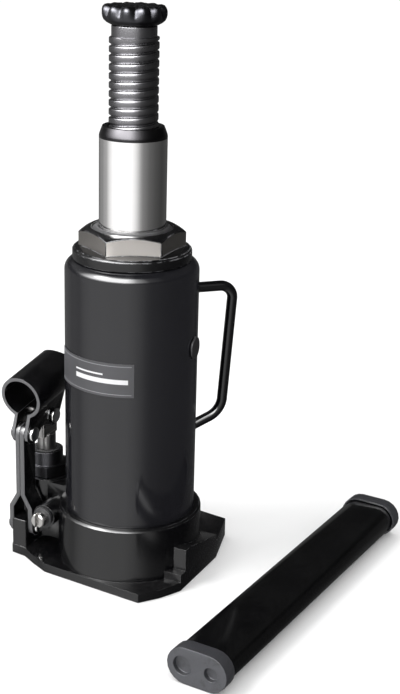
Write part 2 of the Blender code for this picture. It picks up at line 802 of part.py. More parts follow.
def build_screw():
    top = SADDLE_BOTTOM - GAP
    profile = [
        (0, top + SADDLE_SHANK_DEPTH),
        (SADDLE_SHANK_RADIUS, top + SADDLE_SHANK_DEPTH),
        (SADDLE_SHANK_RADIUS, top),
        (NECK_RADIUS, top),
    ]
    profile += thread_profile()
    root = SCREW_RADIUS - THREAD_DEPTH
    profile += [(root, SCREW_BOTTOM), (0, SCREW_BOTTOM)]
    screw = turned("extension_screw", profile, steps=THREAD_STEPS)
    keep(screw, dark_steel("phosphated_screw"))
    stop_top = SCREW_BOTTOM - GAP
    keep(
        rod("screw_stop_washer", SCREW_RADIUS - 0.0002, stop_top - STOP_THICKNESS, stop_top),
        dark_steel("stop_washer_steel"),
    )


def saddle_outline():
    """A round edge broken into lobes."""
    steps = 6 * SADDLE_LOBES
    points = []
    for i in range(steps):
        turn = 2 * math.pi * i / steps
        radius = SADDLE_RADIUS - LOBE_RADIUS * 0.6 * (0.5 + 0.5 * math.cos(SADDLE_LOBES * turn))
        points.append((radius * math.cos(turn), radius * math.sin(turn)))
    return points


def build_saddle():
    top = SADDLE_BOTTOM + SADDLE_HEIGHT
    middle = (SADDLE_BOTTOM + top) / 2
    saddle = plate("saddle", saddle_outline(), SADDLE_HEIGHT, (0, 0, middle))
    dome = turned(
        "saddle_dome",
        [
            (0, top + 0.001),
            (SADDLE_RADIUS - 0.0012, top + 0.001),
            (SADDLE_RADIUS + 0.001, top - 0.0015),
            (SADDLE_RADIUS + 0.001, SADDLE_BOTTOM + 0.0055),
            (SADDLE_RADIUS - 0.0022, SADDLE_BOTTOM + 0.002),
            (NECK_RADIUS, SADDLE_BOTTOM),
            (NECK_RADIUS, SADDLE_BOTTOM - 0.001),
            (0, SADDLE_BOTTOM - 0.001),
        ],
    )
    trim(saddle, dome)
    shank = SADDLE_SHANK_RADIUS + GAP
    cut(saddle, rod("shank_hole", shank, SADDLE_BOTTOM - OVERLAP, SADDLE_BOTTOM + SADDLE_SHANK_DEPTH + GAP))
    keep(saddle, dark_steel("saddle_steel"))


# Pump and linkage


def build_pump():
    bore = PLUNGER_RADIUS + GAP
    seal_outer = bore + 0.0026
    seal_low = BARREL_TOP - 0.005
    barrel = ring(
        "pump_barrel",
        bore,
        BARREL_RADIUS,
        BOSS_TOP + GAP + OVERLAP,
        BARREL_TOP,
        (PUMP_X, PLUNGER_Y, 0),
        steps=32,
    )
    place = (PUMP_X, PLUNGER_Y, 0)
    head_low = BOSS_TOP + GAP
    head = hexagon("barrel_hexagon", BARREL_HEX_FLATS, head_low, head_low + BARREL_HEX_HEIGHT, place)
    spigot = rod("barrel_spigot", BARREL_SPIGOT_RADIUS, BARREL_SEAT + GAP, BOSS_TOP + 0.003, place)
    join(barrel, head, spigot)
    cut(
        barrel,
        rod("plunger_bore", bore, BARREL_SEAT - OVERLAP, BARREL_TOP + OVERLAP, place),
        rod("plunger_seal_recess", seal_outer + GAP, seal_low, BARREL_TOP + OVERLAP, place),
    )
    keep(barrel, dark_steel("barrel_steel"))
    keep(
        ring("plunger_seal", bore, seal_outer, seal_low + GAP, BARREL_TOP + 0.0005, place),
        black_rubber("plunger_seal_rubber"),
    )


def tongue_outline():
    half = TONGUE_WIDTH / 2
    centre = PLUNGER_PIN_Z
    corner = TONGUE_CORNER
    top = arc(PLUNGER_Y + half - corner, centre + TONGUE_RISE, corner, 0, 90, 3)
    top += arc(PLUNGER_Y - half + corner, centre + TONGUE_RISE, corner, 90, 180, 3)
    return [(PLUNGER_Y - half, TONGUE_BOTTOM), (PLUNGER_Y + half, TONGUE_BOTTOM)] + top


def build_plunger():
    place = (PUMP_X, PLUNGER_Y, 0)
    plunger = rod("plunger", PLUNGER_RADIUS, PLUNGER_BOTTOM, TONGUE_BOTTOM + 0.0015, place)
    tongue = plate("tongue", tongue_outline(), TONGUE_THICKNESS, (PUMP_X, 0, 0), SIDEWAYS)
    join(plunger, tongue)
    slot_width = 2 * (PIN_RADIUS + SLOT_GAP)
    slot = plate(
        "tongue_slot",
        stadium(slot_width + SLOT_TRAVEL, slot_width, 6),
        TONGUE_THICKNESS * 2,
        (PUMP_X, PLUNGER_Y, PLUNGER_PIN_Z),
        SIDEWAYS,
    )
    cut(plunger, slot)
    keep(plunger, bright_steel("plunger_steel"))


def build_links():
    for name, side in (("link_left", -1), ("link_right", 1)):
        path = [
            (side * FORK_OFFSET, LUG_PIN_Z - 0.010),
            (side * FORK_OFFSET, LINK_SPLAY_LOW),
            (side * LINK_OFFSET, LINK_SPLAY_HIGH),
            (side * LINK_OFFSET, LINK_PIN_Z + 0.010),
        ]
        # The sheet's path lies in XZ, and it stands along Y.
        place = (PUMP_X, LUG_PIN_Y, 0)
        half = LINK_WIDTH / 2
        strip = bent_sheet(name, path, -half, half, LINK_THICKNESS, place, (math.radians(90), 0, 0))
        length = LINK_PIN_Z - LUG_PIN_Z + LINK_WIDTH
        middle = (LINK_PIN_Z + LUG_PIN_Z) / 2
        ends = plate(
            name + "_ends",
            [(y, x) for x, y in stadium(length, LINK_WIDTH + 0.00001, 6)],
            0.03,
            (PUMP_X, LUG_PIN_Y, middle),
            SIDEWAYS,
        )
        trim(strip, ends)
        for label, height in (("low", LUG_PIN_Z), ("high", LINK_PIN_Z)):
            place = (PUMP_X, LUG_PIN_Y, height)
            cut(strip, rod(name + "_hole_" + label, PIN_RADIUS + GAP, -0.02, 0.02, place, ALONG_X))
        keep(strip, gloss_black(name + "_paint"))


def socket_path():
    """A strip rolled into a ring, with both ends running down as cheeks."""
    middle = SOCKET_RADIUS - SOCKET_WALL / 2
    neck = math.degrees(math.asin(CHEEK_OFFSET / middle))
    round_part = arc(0, SOCKET_RISE, middle, -90 + neck, 270 - neck, 32)
    return [(CHEEK_OFFSET, -CHEEK_DEPTH)] + round_part + [(-CHEEK_OFFSET, -CHEEK_DEPTH)]


def cheek_outline():
    """The socket seen from its side, from the link pin: length, then height."""
    back = SOCKET_LENGTH - SOCKET_FRONT
    top = SOCKET_RISE + SOCKET_RADIUS + OVERLAP
    pin_edge = PIN_HEAD_RADIUS + CHEEK_MARGIN
    return (
        [(-SOCKET_FRONT, top), (-SOCKET_FRONT, SOCKET_RISE - SOCKET_RADIUS + SOCKET_WALL)]
        + arc(0, 0, pin_edge, 150, 300, 6)
        + [(pin_edge + 0.004, -0.0010), (LEVER_ARM - pin_edge - 0.004, -0.0010)]
        + arc(LEVER_ARM, 0, pin_edge, 240, 340, 4)
        + [(back - 0.004, SOCKET_RISE - SOCKET_RADIUS - 0.002), (back, SOCKET_RISE - SOCKET_RADIUS + 0.004)]
        + [(back, top - 0.005), (back - 0.004, top)]
    )


def socket_hinge():
    """The axis of the handle socket, through the links' upper pin."""
    hinge = bpy.data.objects.new("socket_hinge", None)
    hinge.location = (PUMP_X, LUG_PIN_Y, LINK_PIN_Z)
    hinge.rotation_euler = (SOCKET_TILT, 0, 0)
    parts.objects.link(hinge)
    return hinge


def build_socket(hinge):
    back = SOCKET_LENGTH - SOCKET_FRONT
    socket = bent_sheet(
        "handle_socket",
        socket_path(),
        -back,
        PIN_HEAD_RADIUS + CHEEK_MARGIN,
        SOCKET_WALL,
        rotation=(math.radians(90), 0, 0),
    )
    side = plate("socket_side", cheek_outline(), 0.05, rotation=SIDEWAYS)
    holes = [
        rod("socket_hole_" + name, PIN_RADIUS + GAP, -0.02, 0.02, (0, place, 0), ALONG_X)
        for name, place in (("link", 0), ("plunger", LEVER_ARM))
    ]
    for item in (socket, side, *holes):
        item.parent = hinge
    trim(socket, side)
    cut(socket, *holes)
    keep(socket, gloss_black("socket_paint"))


def build_pin(name, half_span, y, z, hinge=None):
    """A headed pin along X with a spring clip near its plain end."""
    head = half_span + GAP
    place = (0, y, z) if hinge else (PUMP_X, y, z)
    clip_near = head + CLIP_THICKNESS
    pin = turned(
        name,
        [
            (0, head + PIN_HEAD_THICKNESS),
            (PIN_HEAD_RADIUS - 0.0006, head + PIN_HEAD_THICKNESS),
            (PIN_HEAD_RADIUS, head + PIN_HEAD_THICKNESS - 0.0006),
            (PIN_HEAD_RADIUS, head),
            (PIN_RADIUS, head),
            (PIN_RADIUS, -clip_near - PIN_TAIL),
            (0, -clip_near - PIN_TAIL),
        ],
        place,
        ALONG_X,
        SMALL_STEPS,
    )
    clip = ring(name + "_clip", PIN_RADIUS + GAP, CLIP_RADIUS, -clip_near, -head, place, ALONG_X)
    for item, paint in ((pin, zinc(name + "_zinc")), (clip, dark_steel(name + "_clip_steel"))):
        item.parent = hinge
        keep(item, paint)


def build_pins(hinge):
    build_pin("lug_pin", FORK_OFFSET + LINK_THICKNESS / 2, LUG_PIN_Y, LUG_PIN_Z)
    build_pin("link_pin", CHEEK_OFFSET + SOCKET_WALL / 2, 0, 0, hinge)
    build_pin("plunger_pin", CHEEK_OFFSET + SOCKET_WALL / 2, LEVER_ARM, 0, hinge)


def build_balls():
    keep(
        ball("suction_ball", BALL_RADIUS, (PUMP_X, PLUNGER_Y, SUCTION_BALL_Z)),
        bright_steel("suction_ball_steel"),
    )
    keep(
        ball("delivery_ball", BALL_RADIUS, (DELIVERY_X, PLUNGER_Y, DELIVERY_BALL_Z)),
        bright_steel("delivery_ball_steel"),
    )


def build_valve():
    """The release valve's screw along Y, with a slotted head outside its boss."""
    seal = VALVE_BOSS_FRONT - GAP - VALVE_SEAL_WIDTH
    head = seal - GAP
    place = (VALVE_X, 0, VALVE_Z)
    tip = VALVE_BOSS_FRONT + VALVE_STEM_LENGTH
    valve = turned(
        "release_valve",
        [
            (0, tip),
            (VALVE_STEM_RADIUS * 0.5, tip),
            (VALVE_STEM_RADIUS, tip - 0.002),
            (VALVE_STEM_RADIUS, head),
            (VALVE_HEAD_RADIUS, head),
            (VALVE_HEAD_RADIUS, head - VALVE_HEAD_LENGTH + 0.0008),
            (VALVE_HEAD_RADIUS - 0.0008, head - VALVE_HEAD_LENGTH),
            (0, head - VALVE_HEAD_LENGTH),
        ],
        place,
        ALONG_Y,
    )
    half = VALVE_SLOT_WIDTH / 2
    end = head - VALVE_HEAD_LENGTH
    cut(
        valve,
        block(
            "valve_slot",
            (VALVE_X - half, end - 0.002, VALVE_Z - 0.01),
            (VALVE_X + half, end + VALVE_SLOT_DEPTH, VALVE_Z + 0.01),
        ),
    )
    keep(valve, zinc("release_valve_zinc"))
    keep(
        ring(
            "release_valve_seal",
            VALVE_STEM_RADIUS + GAP,
            VALVE_STEM_RADIUS + 0.0022,
            seal,
            seal + VALVE_SEAL_WIDTH,
            place,
            ALONG_Y,
        ),
        black_rubber("valve_seal_rubber"),
    )
    keep(
        ball("release_ball", BALL_RADIUS, (VALVE_X, tip + BALL_RADIUS + GAP, VALVE_Z)),
        bright_steel("release_ball_steel"),
    )


# Fittings on the reservoir


def build_filler_plug():
    """A rubber plug whose head stands off the round wall."""
    start = RESERVOIR_RADIUS - FILLER_STEM_LENGTH
    head = RESERVOIR_RADIUS + GAP
    stem = FILLER_HOLE - FILLER_STEM_GAP
    plug = turned(
        "oil_filler_plug",
        [
            (0, head + FILLER_HEAD_THICKNESS),
            (FILLER_HEAD_RADIUS - FILLER_HEAD_CHAMFER, head + FILLER_HEAD_THICKNESS),
            (FILLER_HEAD_RADIUS, head + FILLER_HEAD_THICKNESS - FILLER_HEAD_CHAMFER),
            (FILLER_HEAD_RADIUS, head),
            (stem, head),
            (stem, start),
            (0, start),
        ],
        (0, 0, RESERVOIR_TOP - FILLER_DROP),
        (0, math.radians(90), FILLER_ANGLE),
        steps=SMALL_STEPS,
    )
    keep(plug, black_rubber("filler_plug_rubber"))


def carry_path():
    """The carrying handle seen from its side: reach from the jack's axis, then height."""
    start = RESERVOIR_RADIUS + GAP
    reach = RESERVOIR_RADIUS + CARRY_STANDOFF
    top = RESERVOIR_TOP - CARRY_DROP
    bottom = top - CARRY_HEIGHT
    bend = CARRY_BEND
    low_bend = CARRY_LOW_BEND
    path = [(start, top)]
    path += arc(reach - bend, top - bend, bend, 90, 3, 5)
    path += arc(reach - CARRY_SLANT - low_bend, bottom + low_bend + CARRY_FOOT_RISE, low_bend, -8, -68, 5)
    path += [(start, bottom - CARRY_FOOT_DROP)]
    return path


def build_carry_handle():
    curve = bpy.data.curves.new("carry_handle", "CURVE")
    curve.dimensions = "3D"
    curve.bevel_depth = CARRY_ROD_RADIUS
    curve.bevel_resolution = 3
    curve.use_fill_caps = True
    spline = curve.splines.new("POLY")
    path = carry_path()
    spline.points.add(len(path) - 1)
    for point, (reach, height) in zip(spline.points, path):
        point.co = (reach * math.cos(CARRY_ANGLE), reach * math.sin(CARRY_ANGLE), height, 1)
    handle = as_mesh("carry_handle", curve)
    top = RESERVOIR_TOP - CARRY_DROP + CARRY_SEAT_MARGIN
    bottom = RESERVOIR_TOP - CARRY_DROP - CARRY_HEIGHT - CARRY_SEAT_MARGIN
    cut(handle, rod("carry_seat", RESERVOIR_RADIUS + GAP, bottom, top))
    keep(handle, gloss_black("carry_handle_paint"))


def build_label():
    middle = RESERVOIR_RADIUS + GAP + LABEL_THICKNESS / 2
    path = arc(0, 0, middle, LABEL_START, LABEL_END, 20)
    low = RESERVOIR_TOP - LABEL_DROP - LABEL_HEIGHT / 2
    label = bent_sheet("label_plate", path, low, low + LABEL_HEIGHT, LABEL_THICKNESS)
    keep(label, make_material("label_print", (0.07, 0.07, 0.075), 0.4, 0.0))


# Handle case and handle


def case_frame():
    frame = bpy.data.objects.new("handle_case", None)
    frame.location = (CASE_NEAR[0], CASE_NEAR[1], CAP_HEIGHT / 2)
    frame.rotation_euler = (0, 0, CASE_ANGLE - math.radians(90))
    parts.objects.link(frame)
    return frame


def lengthways(name, length, width, start, end):
    """A stadium section that runs along Y from start to end."""
    return plate(name, stadium(length, width, 10), end - start, (0, (start + end) / 2, 0), ALONG_Y)


def build_cap(name, start, outward, frame):
    """A cap over one end of the sleeve. Its outer face is at start and looks along outward."""
    end = start - outward * CAP_DEPTH
    floor = start - outward * CAP_FACE
    body = lengthways(name, CAP_WIDTH, CAP_HEIGHT, min(start, end), max(start, end))
    past = end - outward * OVERLAP
    pocket = lengthways(
        name + "_pocket",
        SLEEVE_WIDTH + 2 * GAP,
        SLEEVE_HEIGHT + 2 * GAP,
        min(floor, past),
        max(floor, past),
    )
    recess_end = start - outward * CAP_RECESS_DEPTH
    offset = TUBE_RADIUS + CAP_RECESS_MARGIN
    low = min(recess_end, start + outward * OVERLAP)
    high = max(recess_end, start + outward * OVERLAP)
    recesses = [
        rod(name + "_recess_" + label, radius, low, high, (x, 0, 0), ALONG_Y)
        for label, radius, x in (
            ("large", TUBE_RADIUS - CAP_RECESS_EDGE, -offset),
            ("small", ROD_RADIUS - CAP_RECESS_EDGE, offset),
        )
    ]
    for item in (body, pocket, *recesses):
        item.parent = frame
    cut(body, pocket, *recesses)
    keep(body, grey_plastic(name + "_plastic"))


def build_case(frame):
    build_cap("case_cap_near", 0.0, -1, frame)
    build_cap("case_cap_far", CASE_LENGTH, 1, frame)
    start = CAP_FACE + GAP
    end = CASE_LENGTH - CAP_FACE - GAP
    sleeve = lengthways("case_sleeve", SLEEVE_WIDTH, SLEEVE_HEIGHT, start, end)
    hollow = lengthways(
        "sleeve_hollow",
        SLEEVE_WIDTH - 2 * SLEEVE_WALL,
        SLEEVE_HEIGHT - 2 * SLEEVE_WALL,
        start - OVERLAP,
        end + OVERLAP,
    )
    for item in (sleeve, hollow):
        item.parent = frame
    cut(sleeve, hollow)
    keep(sleeve, gloss_black("sleeve_gloss"))


def build_handle(frame):
    """The tube and the notched rod that plug together as the pump's handle."""
    start = CAP_FACE + HANDLE_END_PLAY
    end = CASE_LENGTH - CAP_FACE - HANDLE_END_PLAY
    room = SLEEVE_WIDTH / 2 - SLEEVE_WALL
    tube_x = -(room - TUBE_RADIUS - 2 * GAP)
    rod_x = room - ROD_RADIUS - 2 * GAP
    bore = TUBE_RADIUS - TUBE_WALL
    tube = ring("handle_tube", bore, TUBE_RADIUS, start, end, (tube_x, 0, 0), ALONG_Y, 24)
    bar = rod("handle_rod", ROD_RADIUS, start, end, (rod_x, 0, 0), ALONG_Y)
    half = ROD_NOTCH_WIDTH / 2
    notch = block(
        "rod_notch",
        (rod_x - half, start - OVERLAP, -ROD_RADIUS - OVERLAP),
        (rod_x + half, start + ROD_NOTCH_DEPTH, ROD_RADIUS + OVERLAP),
    )
    for item in (tube, bar, notch):
        item.parent = frame
    cut(bar, notch)
    keep(tube, dark_steel("handle_tube_steel"))
    keep(bar, dark_steel("handle_rod_steel"))


def main():
    clear_scene()
    build_base()
    build_reservoir()
    build_cylinder()
    build_gaskets()
    build_gland_nut()
    build_ram()
    build_screw()
    build_saddle()
    build_pump()
    build_plunger()
    build_links()
    hinge = socket_hinge()
    build_socket(hinge)
    build_pins(hinge)
    build_balls()
    build_valve()
    build_filler_plug()
    build_carry_handle()
    build_label()
    frame = case_frame()
    build_case(frame)
    build_handle(frame)


main()
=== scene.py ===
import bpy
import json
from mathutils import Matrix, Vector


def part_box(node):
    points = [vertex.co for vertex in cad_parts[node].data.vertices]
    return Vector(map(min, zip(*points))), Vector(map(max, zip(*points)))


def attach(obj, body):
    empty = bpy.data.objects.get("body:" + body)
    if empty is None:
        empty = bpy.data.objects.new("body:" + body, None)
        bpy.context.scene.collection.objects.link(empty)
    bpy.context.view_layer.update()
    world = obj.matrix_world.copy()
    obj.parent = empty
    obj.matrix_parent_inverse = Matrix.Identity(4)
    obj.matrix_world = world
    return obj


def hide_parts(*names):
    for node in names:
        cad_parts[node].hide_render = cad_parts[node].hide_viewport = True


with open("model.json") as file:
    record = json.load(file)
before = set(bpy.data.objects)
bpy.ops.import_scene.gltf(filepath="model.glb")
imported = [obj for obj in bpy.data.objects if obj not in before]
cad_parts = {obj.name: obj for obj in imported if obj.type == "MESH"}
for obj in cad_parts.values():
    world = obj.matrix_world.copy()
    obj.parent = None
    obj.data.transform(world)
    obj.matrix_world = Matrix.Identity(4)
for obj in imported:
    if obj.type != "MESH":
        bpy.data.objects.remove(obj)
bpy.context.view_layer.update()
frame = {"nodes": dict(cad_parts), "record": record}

import json
import math

import bmesh
import bpy
from mathutils import Matrix, Vector

nodes = frame["nodes"]
bodyOf = {}
for bodyName, members in frame["record"]["behaviour"]["bodies"].items():
    for member in members:
        bodyOf[member] = bodyName
slotOf = {row["node"]: row["material_slot"] for row in frame["record"]["subparts"]}


studio = {
    "cameraPlace": (0.3773, -0.6920, 0.4119),
    "cameraHeading": 25.59,  # degrees left of +Y
    "cameraPitch": 18.92,
    "cameraRoll": 1.53,
    "lens": 71.56,
    "floorColor": (0.97, 0.97, 0.97),
    "fill": 1.35,  # light that reaches rough surfaces
    "wallLevel": 1.0,  # the tall soft boxes seen in vertical walls
    "topLevel": 29.0,
}


def placeCamera():
    heading = math.radians(studio["cameraHeading"])
    pitch = math.radians(studio["cameraPitch"])
    roll = math.radians(studio["cameraRoll"])
    forward = Vector((-math.sin(heading) * math.cos(pitch), math.cos(heading) * math.cos(pitch),
                      -math.sin(pitch)))
    level = forward.cross(Vector((0, 0, 1))).normalized()
    upward = level.cross(forward)
    right = level * math.cos(roll) + upward * math.sin(roll)
    back = -forward
    up = back.cross(right)
    data = bpy.data.cameras.new("mainCamera")
    data.lens = studio["lens"]
    data.sensor_width = 36
    data.clip_start = 0.01
    camera = bpy.data.objects.new("mainCamera", data)
    bpy.context.scene.collection.objects.link(camera)
    turn = Matrix((right, up, back)).transposed().to_4x4()
    camera.matrix_world = Matrix.Translation(studio["cameraPlace"]) @ turn
    bpy.context.scene.camera = camera


def node(tree, kind, **values):
    item = tree.nodes.new(kind)
    for name, value in values.items():
        setattr(item, name, value)
    return item


def mathNode(tree, operation, first, second=None):
    item = node(tree, "ShaderNodeMath", operation=operation)
    for socket, value in zip(item.inputs, (first, second)):
        if value is None:
            continue
        if isinstance(value, (int, float)):
            socket.default_value = value
        else:
            tree.links.new(value, socket)
    return item.outputs[0]


# A grey ramp through (position, level) stops
def ramp(tree, value, stops):
    item = node(tree, "ShaderNodeValToRGB")
    elements = item.color_ramp.elements
    while len(elements) < len(stops):
        elements.new(0.5)
    for element, (position, level) in zip(elements, stops):
        element.position = position
        element.color = (level, level, level, 1)
    tree.links.new(value, item.inputs[0])
    return item.outputs[0]


# A white sweep for the eye, and soft boxes of their own for what the paint reflects
def softRoom():
    world = bpy.data.worlds.new("softRoom")
    bpy.context.scene.world = world
    world.use_nodes = True
    tree = world.node_tree
    tree.nodes.clear()
    place = node(tree, "ShaderNodeTexCoord")
    split = node(tree, "ShaderNodeSeparateXYZ")
    tree.links.new(place.outputs["Generated"], split.inputs[0])
    azimuth = mathNode(tree, "ARCTAN2", split.outputs["Y"], split.outputs["X"])
    share = mathNode(tree, "ADD", mathNode(tree, "DIVIDE", azimuth, 2 * math.pi), 0.5)

    def turnAt(degrees):
        return (degrees + 180) / 360

    # azimuth in degrees, and how bright the room is that way
    sides = ((-180, 0.45), (-161, 0.55), (-148, 1.1), (-134, 1.5), (-110, 1.7), (-70, 1.65), (-56, 1.3),
             (-45, 0.9), (-36, 0.5), (-27, 0.30), (-5, 0.16), (19, 0.10), (50, 0.06), (95, 0.10),
             (120, 0.16), (147, 0.26), (168, 0.36))
    walls = ramp(tree, share, [(turnAt(way), level) for way, level in sides])
    roof = ramp(tree, share, [
        (turnAt(-180), 0.02),
        (turnAt(-168), 0.06),
        (turnAt(-135), 0.8),
        (turnAt(-112), 1.0),
        (turnAt(-72), 1.0),
        (turnAt(-52), 0.25),
        (turnAt(-30), 0.03),
        (turnAt(0), 0.004),
        (turnAt(120), 0.001),
        (turnAt(180), 0.02),
    ])
    height = split.outputs["Z"]
    upper = ramp(tree, height, [(0.12, 0), (0.30, 0.25), (0.42, 1), (0.80, 1), (0.93, 0.05), (1.0, 0.03)])
    lower = ramp(tree, mathNode(tree, "ADD", height, 0.5), [(0.0, 0.9), (0.55, 1), (0.68, 0.12), (1.0, 0.03)])
    top = mathNode(tree, "MULTIPLY", mathNode(tree, "MULTIPLY", roof, upper), studio["topLevel"])
    low = mathNode(tree, "MULTIPLY", mathNode(tree, "MULTIPLY", walls, lower), studio["wallLevel"])
    seen = mathNode(tree, "ADD", low, top)
    light = node(tree, "ShaderNodeLightPath")
    glossy = node(tree, "ShaderNodeMix")
    glossy.data_type = "FLOAT"
    glossy.inputs[2].default_value = studio["fill"]
    tree.links.new(light.outputs["Is Glossy Ray"], glossy.inputs[0])
    tree.links.new(seen, glossy.inputs[3])
    final = node(tree, "ShaderNodeMix")
    final.data_type = "FLOAT"
    final.inputs[3].default_value = 1.0
    tree.links.new(light.outputs["Is Camera Ray"], final.inputs[0])
    tree.links.new(glossy.outputs[0], final.inputs[2])
    background = node(tree, "ShaderNodeBackground")
    tree.links.new(final.outputs[0], background.inputs["Strength"])
    output = node(tree, "ShaderNodeOutputWorld")
    tree.links.new(background.outputs[0], output.inputs[0])


def laySweep():
    mesh = bpy.data.meshes.new("studioFloor")
    shape = bmesh.new()
    bmesh.ops.create_grid(shape, x_segments=2, y_segments=2, size=6)
    bmesh.ops.translate(shape, verts=shape.verts, vec=(0, 0, -0.0002))
    shape.to_mesh(mesh)
    shape.free()
    floor = bpy.data.objects.new("studioFloor", mesh)
    bpy.context.scene.collection.objects.link(floor)
    paper = bpy.data.materials.new("paleSweep")
    paper.use_nodes = True
    shader = paper.node_tree.nodes["Principled BSDF"]
    shader.inputs["Base Color"].default_value = (*studio["floorColor"], 1)
    shader.inputs["Roughness"].default_value = 0.9
    shader.inputs["Specular IOR Level"].default_value = 0.0
    mesh.materials.append(paper)
    floor.visible_glossy = False


def hangLight(name, place, target, size, power):
    data = bpy.data.lights.new(name, "AREA")
    data.shape = "DISK"
    data.size = size
    data.energy = power
    light = bpy.data.objects.new(name, data)
    light.location = place
    light.rotation_euler = (Vector(target) - Vector(place)).to_track_quat("-Z", "Y").to_euler()
    bpy.context.scene.collection.objects.link(light)


placeCamera()
softRoom()
laySweep()
hangLight("keyLight", (-0.55, -0.75, 1.1), (0, 0, 0.15), 0.55, 9.0)
bpy.context.scene.view_settings.view_transform = "Standard"
print("studio ready")


def newGroup(name, inputs, outputs):
    group = bpy.data.node_groups.new(name, "ShaderNodeTree")
    for label, default in inputs:
        socket = group.interface.new_socket(label, in_out="INPUT", socket_type="NodeSocketFloat")
        socket.default_value = default
    for label in outputs:
        group.interface.new_socket(label, in_out="OUTPUT", socket_type="NodeSocketFloat")
    start = group.nodes.new("NodeGroupInput")
    end = group.nodes.new("NodeGroupOutput")
    return group, start, end


def noise(tree, vector, scale, detail=4.0, roughness=0.55):
    item = node(tree, "ShaderNodeTexNoise")
    item.inputs["Detail"].default_value = detail
    item.inputs["Roughness"].default_value = roughness
    if isinstance(scale, (int, float)):
        item.inputs["Scale"].default_value = scale
    else:
        tree.links.new(scale, item.inputs["Scale"])
    tree.links.new(vector, item.inputs["Vector"])
    return item.outputs["Fac"]


def objectPlace(tree, stretch=(1, 1, 1)):
    place = node(tree, "ShaderNodeTexCoord")
    mapping = node(tree, "ShaderNodeMapping")
    mapping.inputs["Scale"].default_value = stretch
    tree.links.new(place.outputs["Object"], mapping.inputs["Vector"])
    return mapping.outputs[0]


# Sprayed enamel: a faint orange peel and slow changes of gloss
def paintSkin():
    group, start, end = newGroup("paintSkin", [("Peel Scale", 260), ("Gloss", 0.14), ("Gloss Change", 0.08)],
                                 ["Roughness", "Height", "Tone"])
    place = objectPlace(group)
    peel = noise(group, place, start.outputs["Peel Scale"], 2.0)
    slow = noise(group, place, 22.0, 5.0, 0.65)
    fine = noise(group, place, 900.0, 2.0)
    swing = mathNode(group, "SUBTRACT", slow, 0.45)
    change = mathNode(group, "MULTIPLY", swing, start.outputs["Gloss Change"])
    group.links.new(mathNode(group, "ADD", start.outputs["Gloss"], change), end.inputs["Roughness"])
    grain = mathNode(group, "MULTIPLY", fine, 0.15)
    group.links.new(mathNode(group, "ADD", peel, grain), end.inputs["Height"])
    group.links.new(slow, end.inputs["Tone"])
    return group


# Where paint or plate has rubbed off the bevelled edges, and where faces marked as lit fronts take a painted
# highlight
def edgeWearAndLitFront():
    group, start, end = newGroup("edgeWearAndLitFront", [("Amount", 0.5), ("Patch Scale", 90)], ["Mask"])
    edge = node(group, "ShaderNodeAttribute", attribute_name="edgeWearAndLitFront")
    place = objectPlace(group)
    patches = noise(group, place, start.outputs["Patch Scale"], 6.0, 0.7)
    cut = mathNode(group, "SUBTRACT", 1.0, start.outputs["Amount"])
    raised = mathNode(group, "SUBTRACT", patches, mathNode(group, "MULTIPLY", cut, 0.75))
    sharp = node(group, "ShaderNodeClamp")
    group.links.new(mathNode(group, "MULTIPLY", raised, 9.0), sharp.inputs[0])
    group.links.new(mathNode(group, "MULTIPLY", sharp.outputs[0], edge.outputs["Fac"]), end.inputs["Mask"])
    return group


# Thin dust on faces that look up
def settledDust():
    group, start, end = newGroup("settledDust", [("Amount", 0.2), ("Grain Scale", 420)], ["Mask"])
    facing = node(group, "ShaderNodeNewGeometry")
    split = node(group, "ShaderNodeSeparateXYZ")
    group.links.new(facing.outputs["Normal"], split.inputs[0])
    up = node(group, "ShaderNodeMapRange")
    up.inputs["From Min"].default_value = 0.25
    up.inputs["From Max"].default_value = 0.95
    group.links.new(split.outputs["Z"], up.inputs["Value"])
    place = objectPlace(group)
    grain = noise(group, place, start.outputs["Grain Scale"], 3.0, 0.7)
    cloud = noise(group, place, 35.0, 3.0)
    speck = node(group, "ShaderNodeMapRange")
    speck.inputs["From Min"].default_value = 0.42
    speck.inputs["From Max"].default_value = 0.70
    mixed = mathNode(group, "MULTIPLY", mathNode(group, "ADD", grain, cloud), 0.5)
    group.links.new(mixed, speck.inputs["Value"])
    both = mathNode(group, "MULTIPLY", up.outputs[0], speck.outputs[0])
    group.links.new(mathNode(group, "MULTIPLY", both, start.outputs["Amount"]), end.inputs["Mask"])
    return group


# Hairline marks along two directions
def fineScratches():
    group, start, end = newGroup("fineScratches", [("Amount", 0.3)], ["Mask"])
    masks = []
    for stretch in ((900, 900, 14), (26, 700, 900)):
        lines = noise(group, objectPlace(group, stretch), 1.0, 2.0, 0.5)
        thin = node(group, "ShaderNodeMapRange")
        thin.inputs["From Min"].default_value = 0.66
        thin.inputs["From Max"].default_value = 0.74
        group.links.new(lines, thin.inputs["Value"])
        masks.append(thin.outputs[0])
    both = mathNode(group, "MAXIMUM", *masks)
    where = noise(group, objectPlace(group), 45.0, 2.0)
    group.links.new(
        mathNode(group, "MULTIPLY", mathNode(group, "MULTIPLY", both, where), start.outputs["Amount"]),
        end.inputs["Mask"],
    )
    return group


# Fine lathe lines across Z, with slow bands
def turnedLines():
    group, start, end = newGroup("turnedLines", [("Line Scale", 1.0)], ["Height", "Band"])
    place = objectPlace(group, (2, 2, 1))
    stretched = node(group, "ShaderNodeVectorMath", operation="MULTIPLY")
    stretched.inputs[1].default_value = (3, 3, 2600)
    group.links.new(place, stretched.inputs[0])
    scaled = node(group, "ShaderNodeVectorMath", operation="SCALE")
    group.links.new(stretched.outputs[0], scaled.inputs[0])
    group.links.new(start.outputs["Line Scale"], scaled.inputs["Scale"])
    group.links.new(noise(group, scaled.outputs[0], 1.0, 2.0), end.inputs["Height"])
    group.links.new(noise(group, objectPlace(group, (4, 4, 120)), 1.0, 3.0), end.inputs["Band"])
    return group


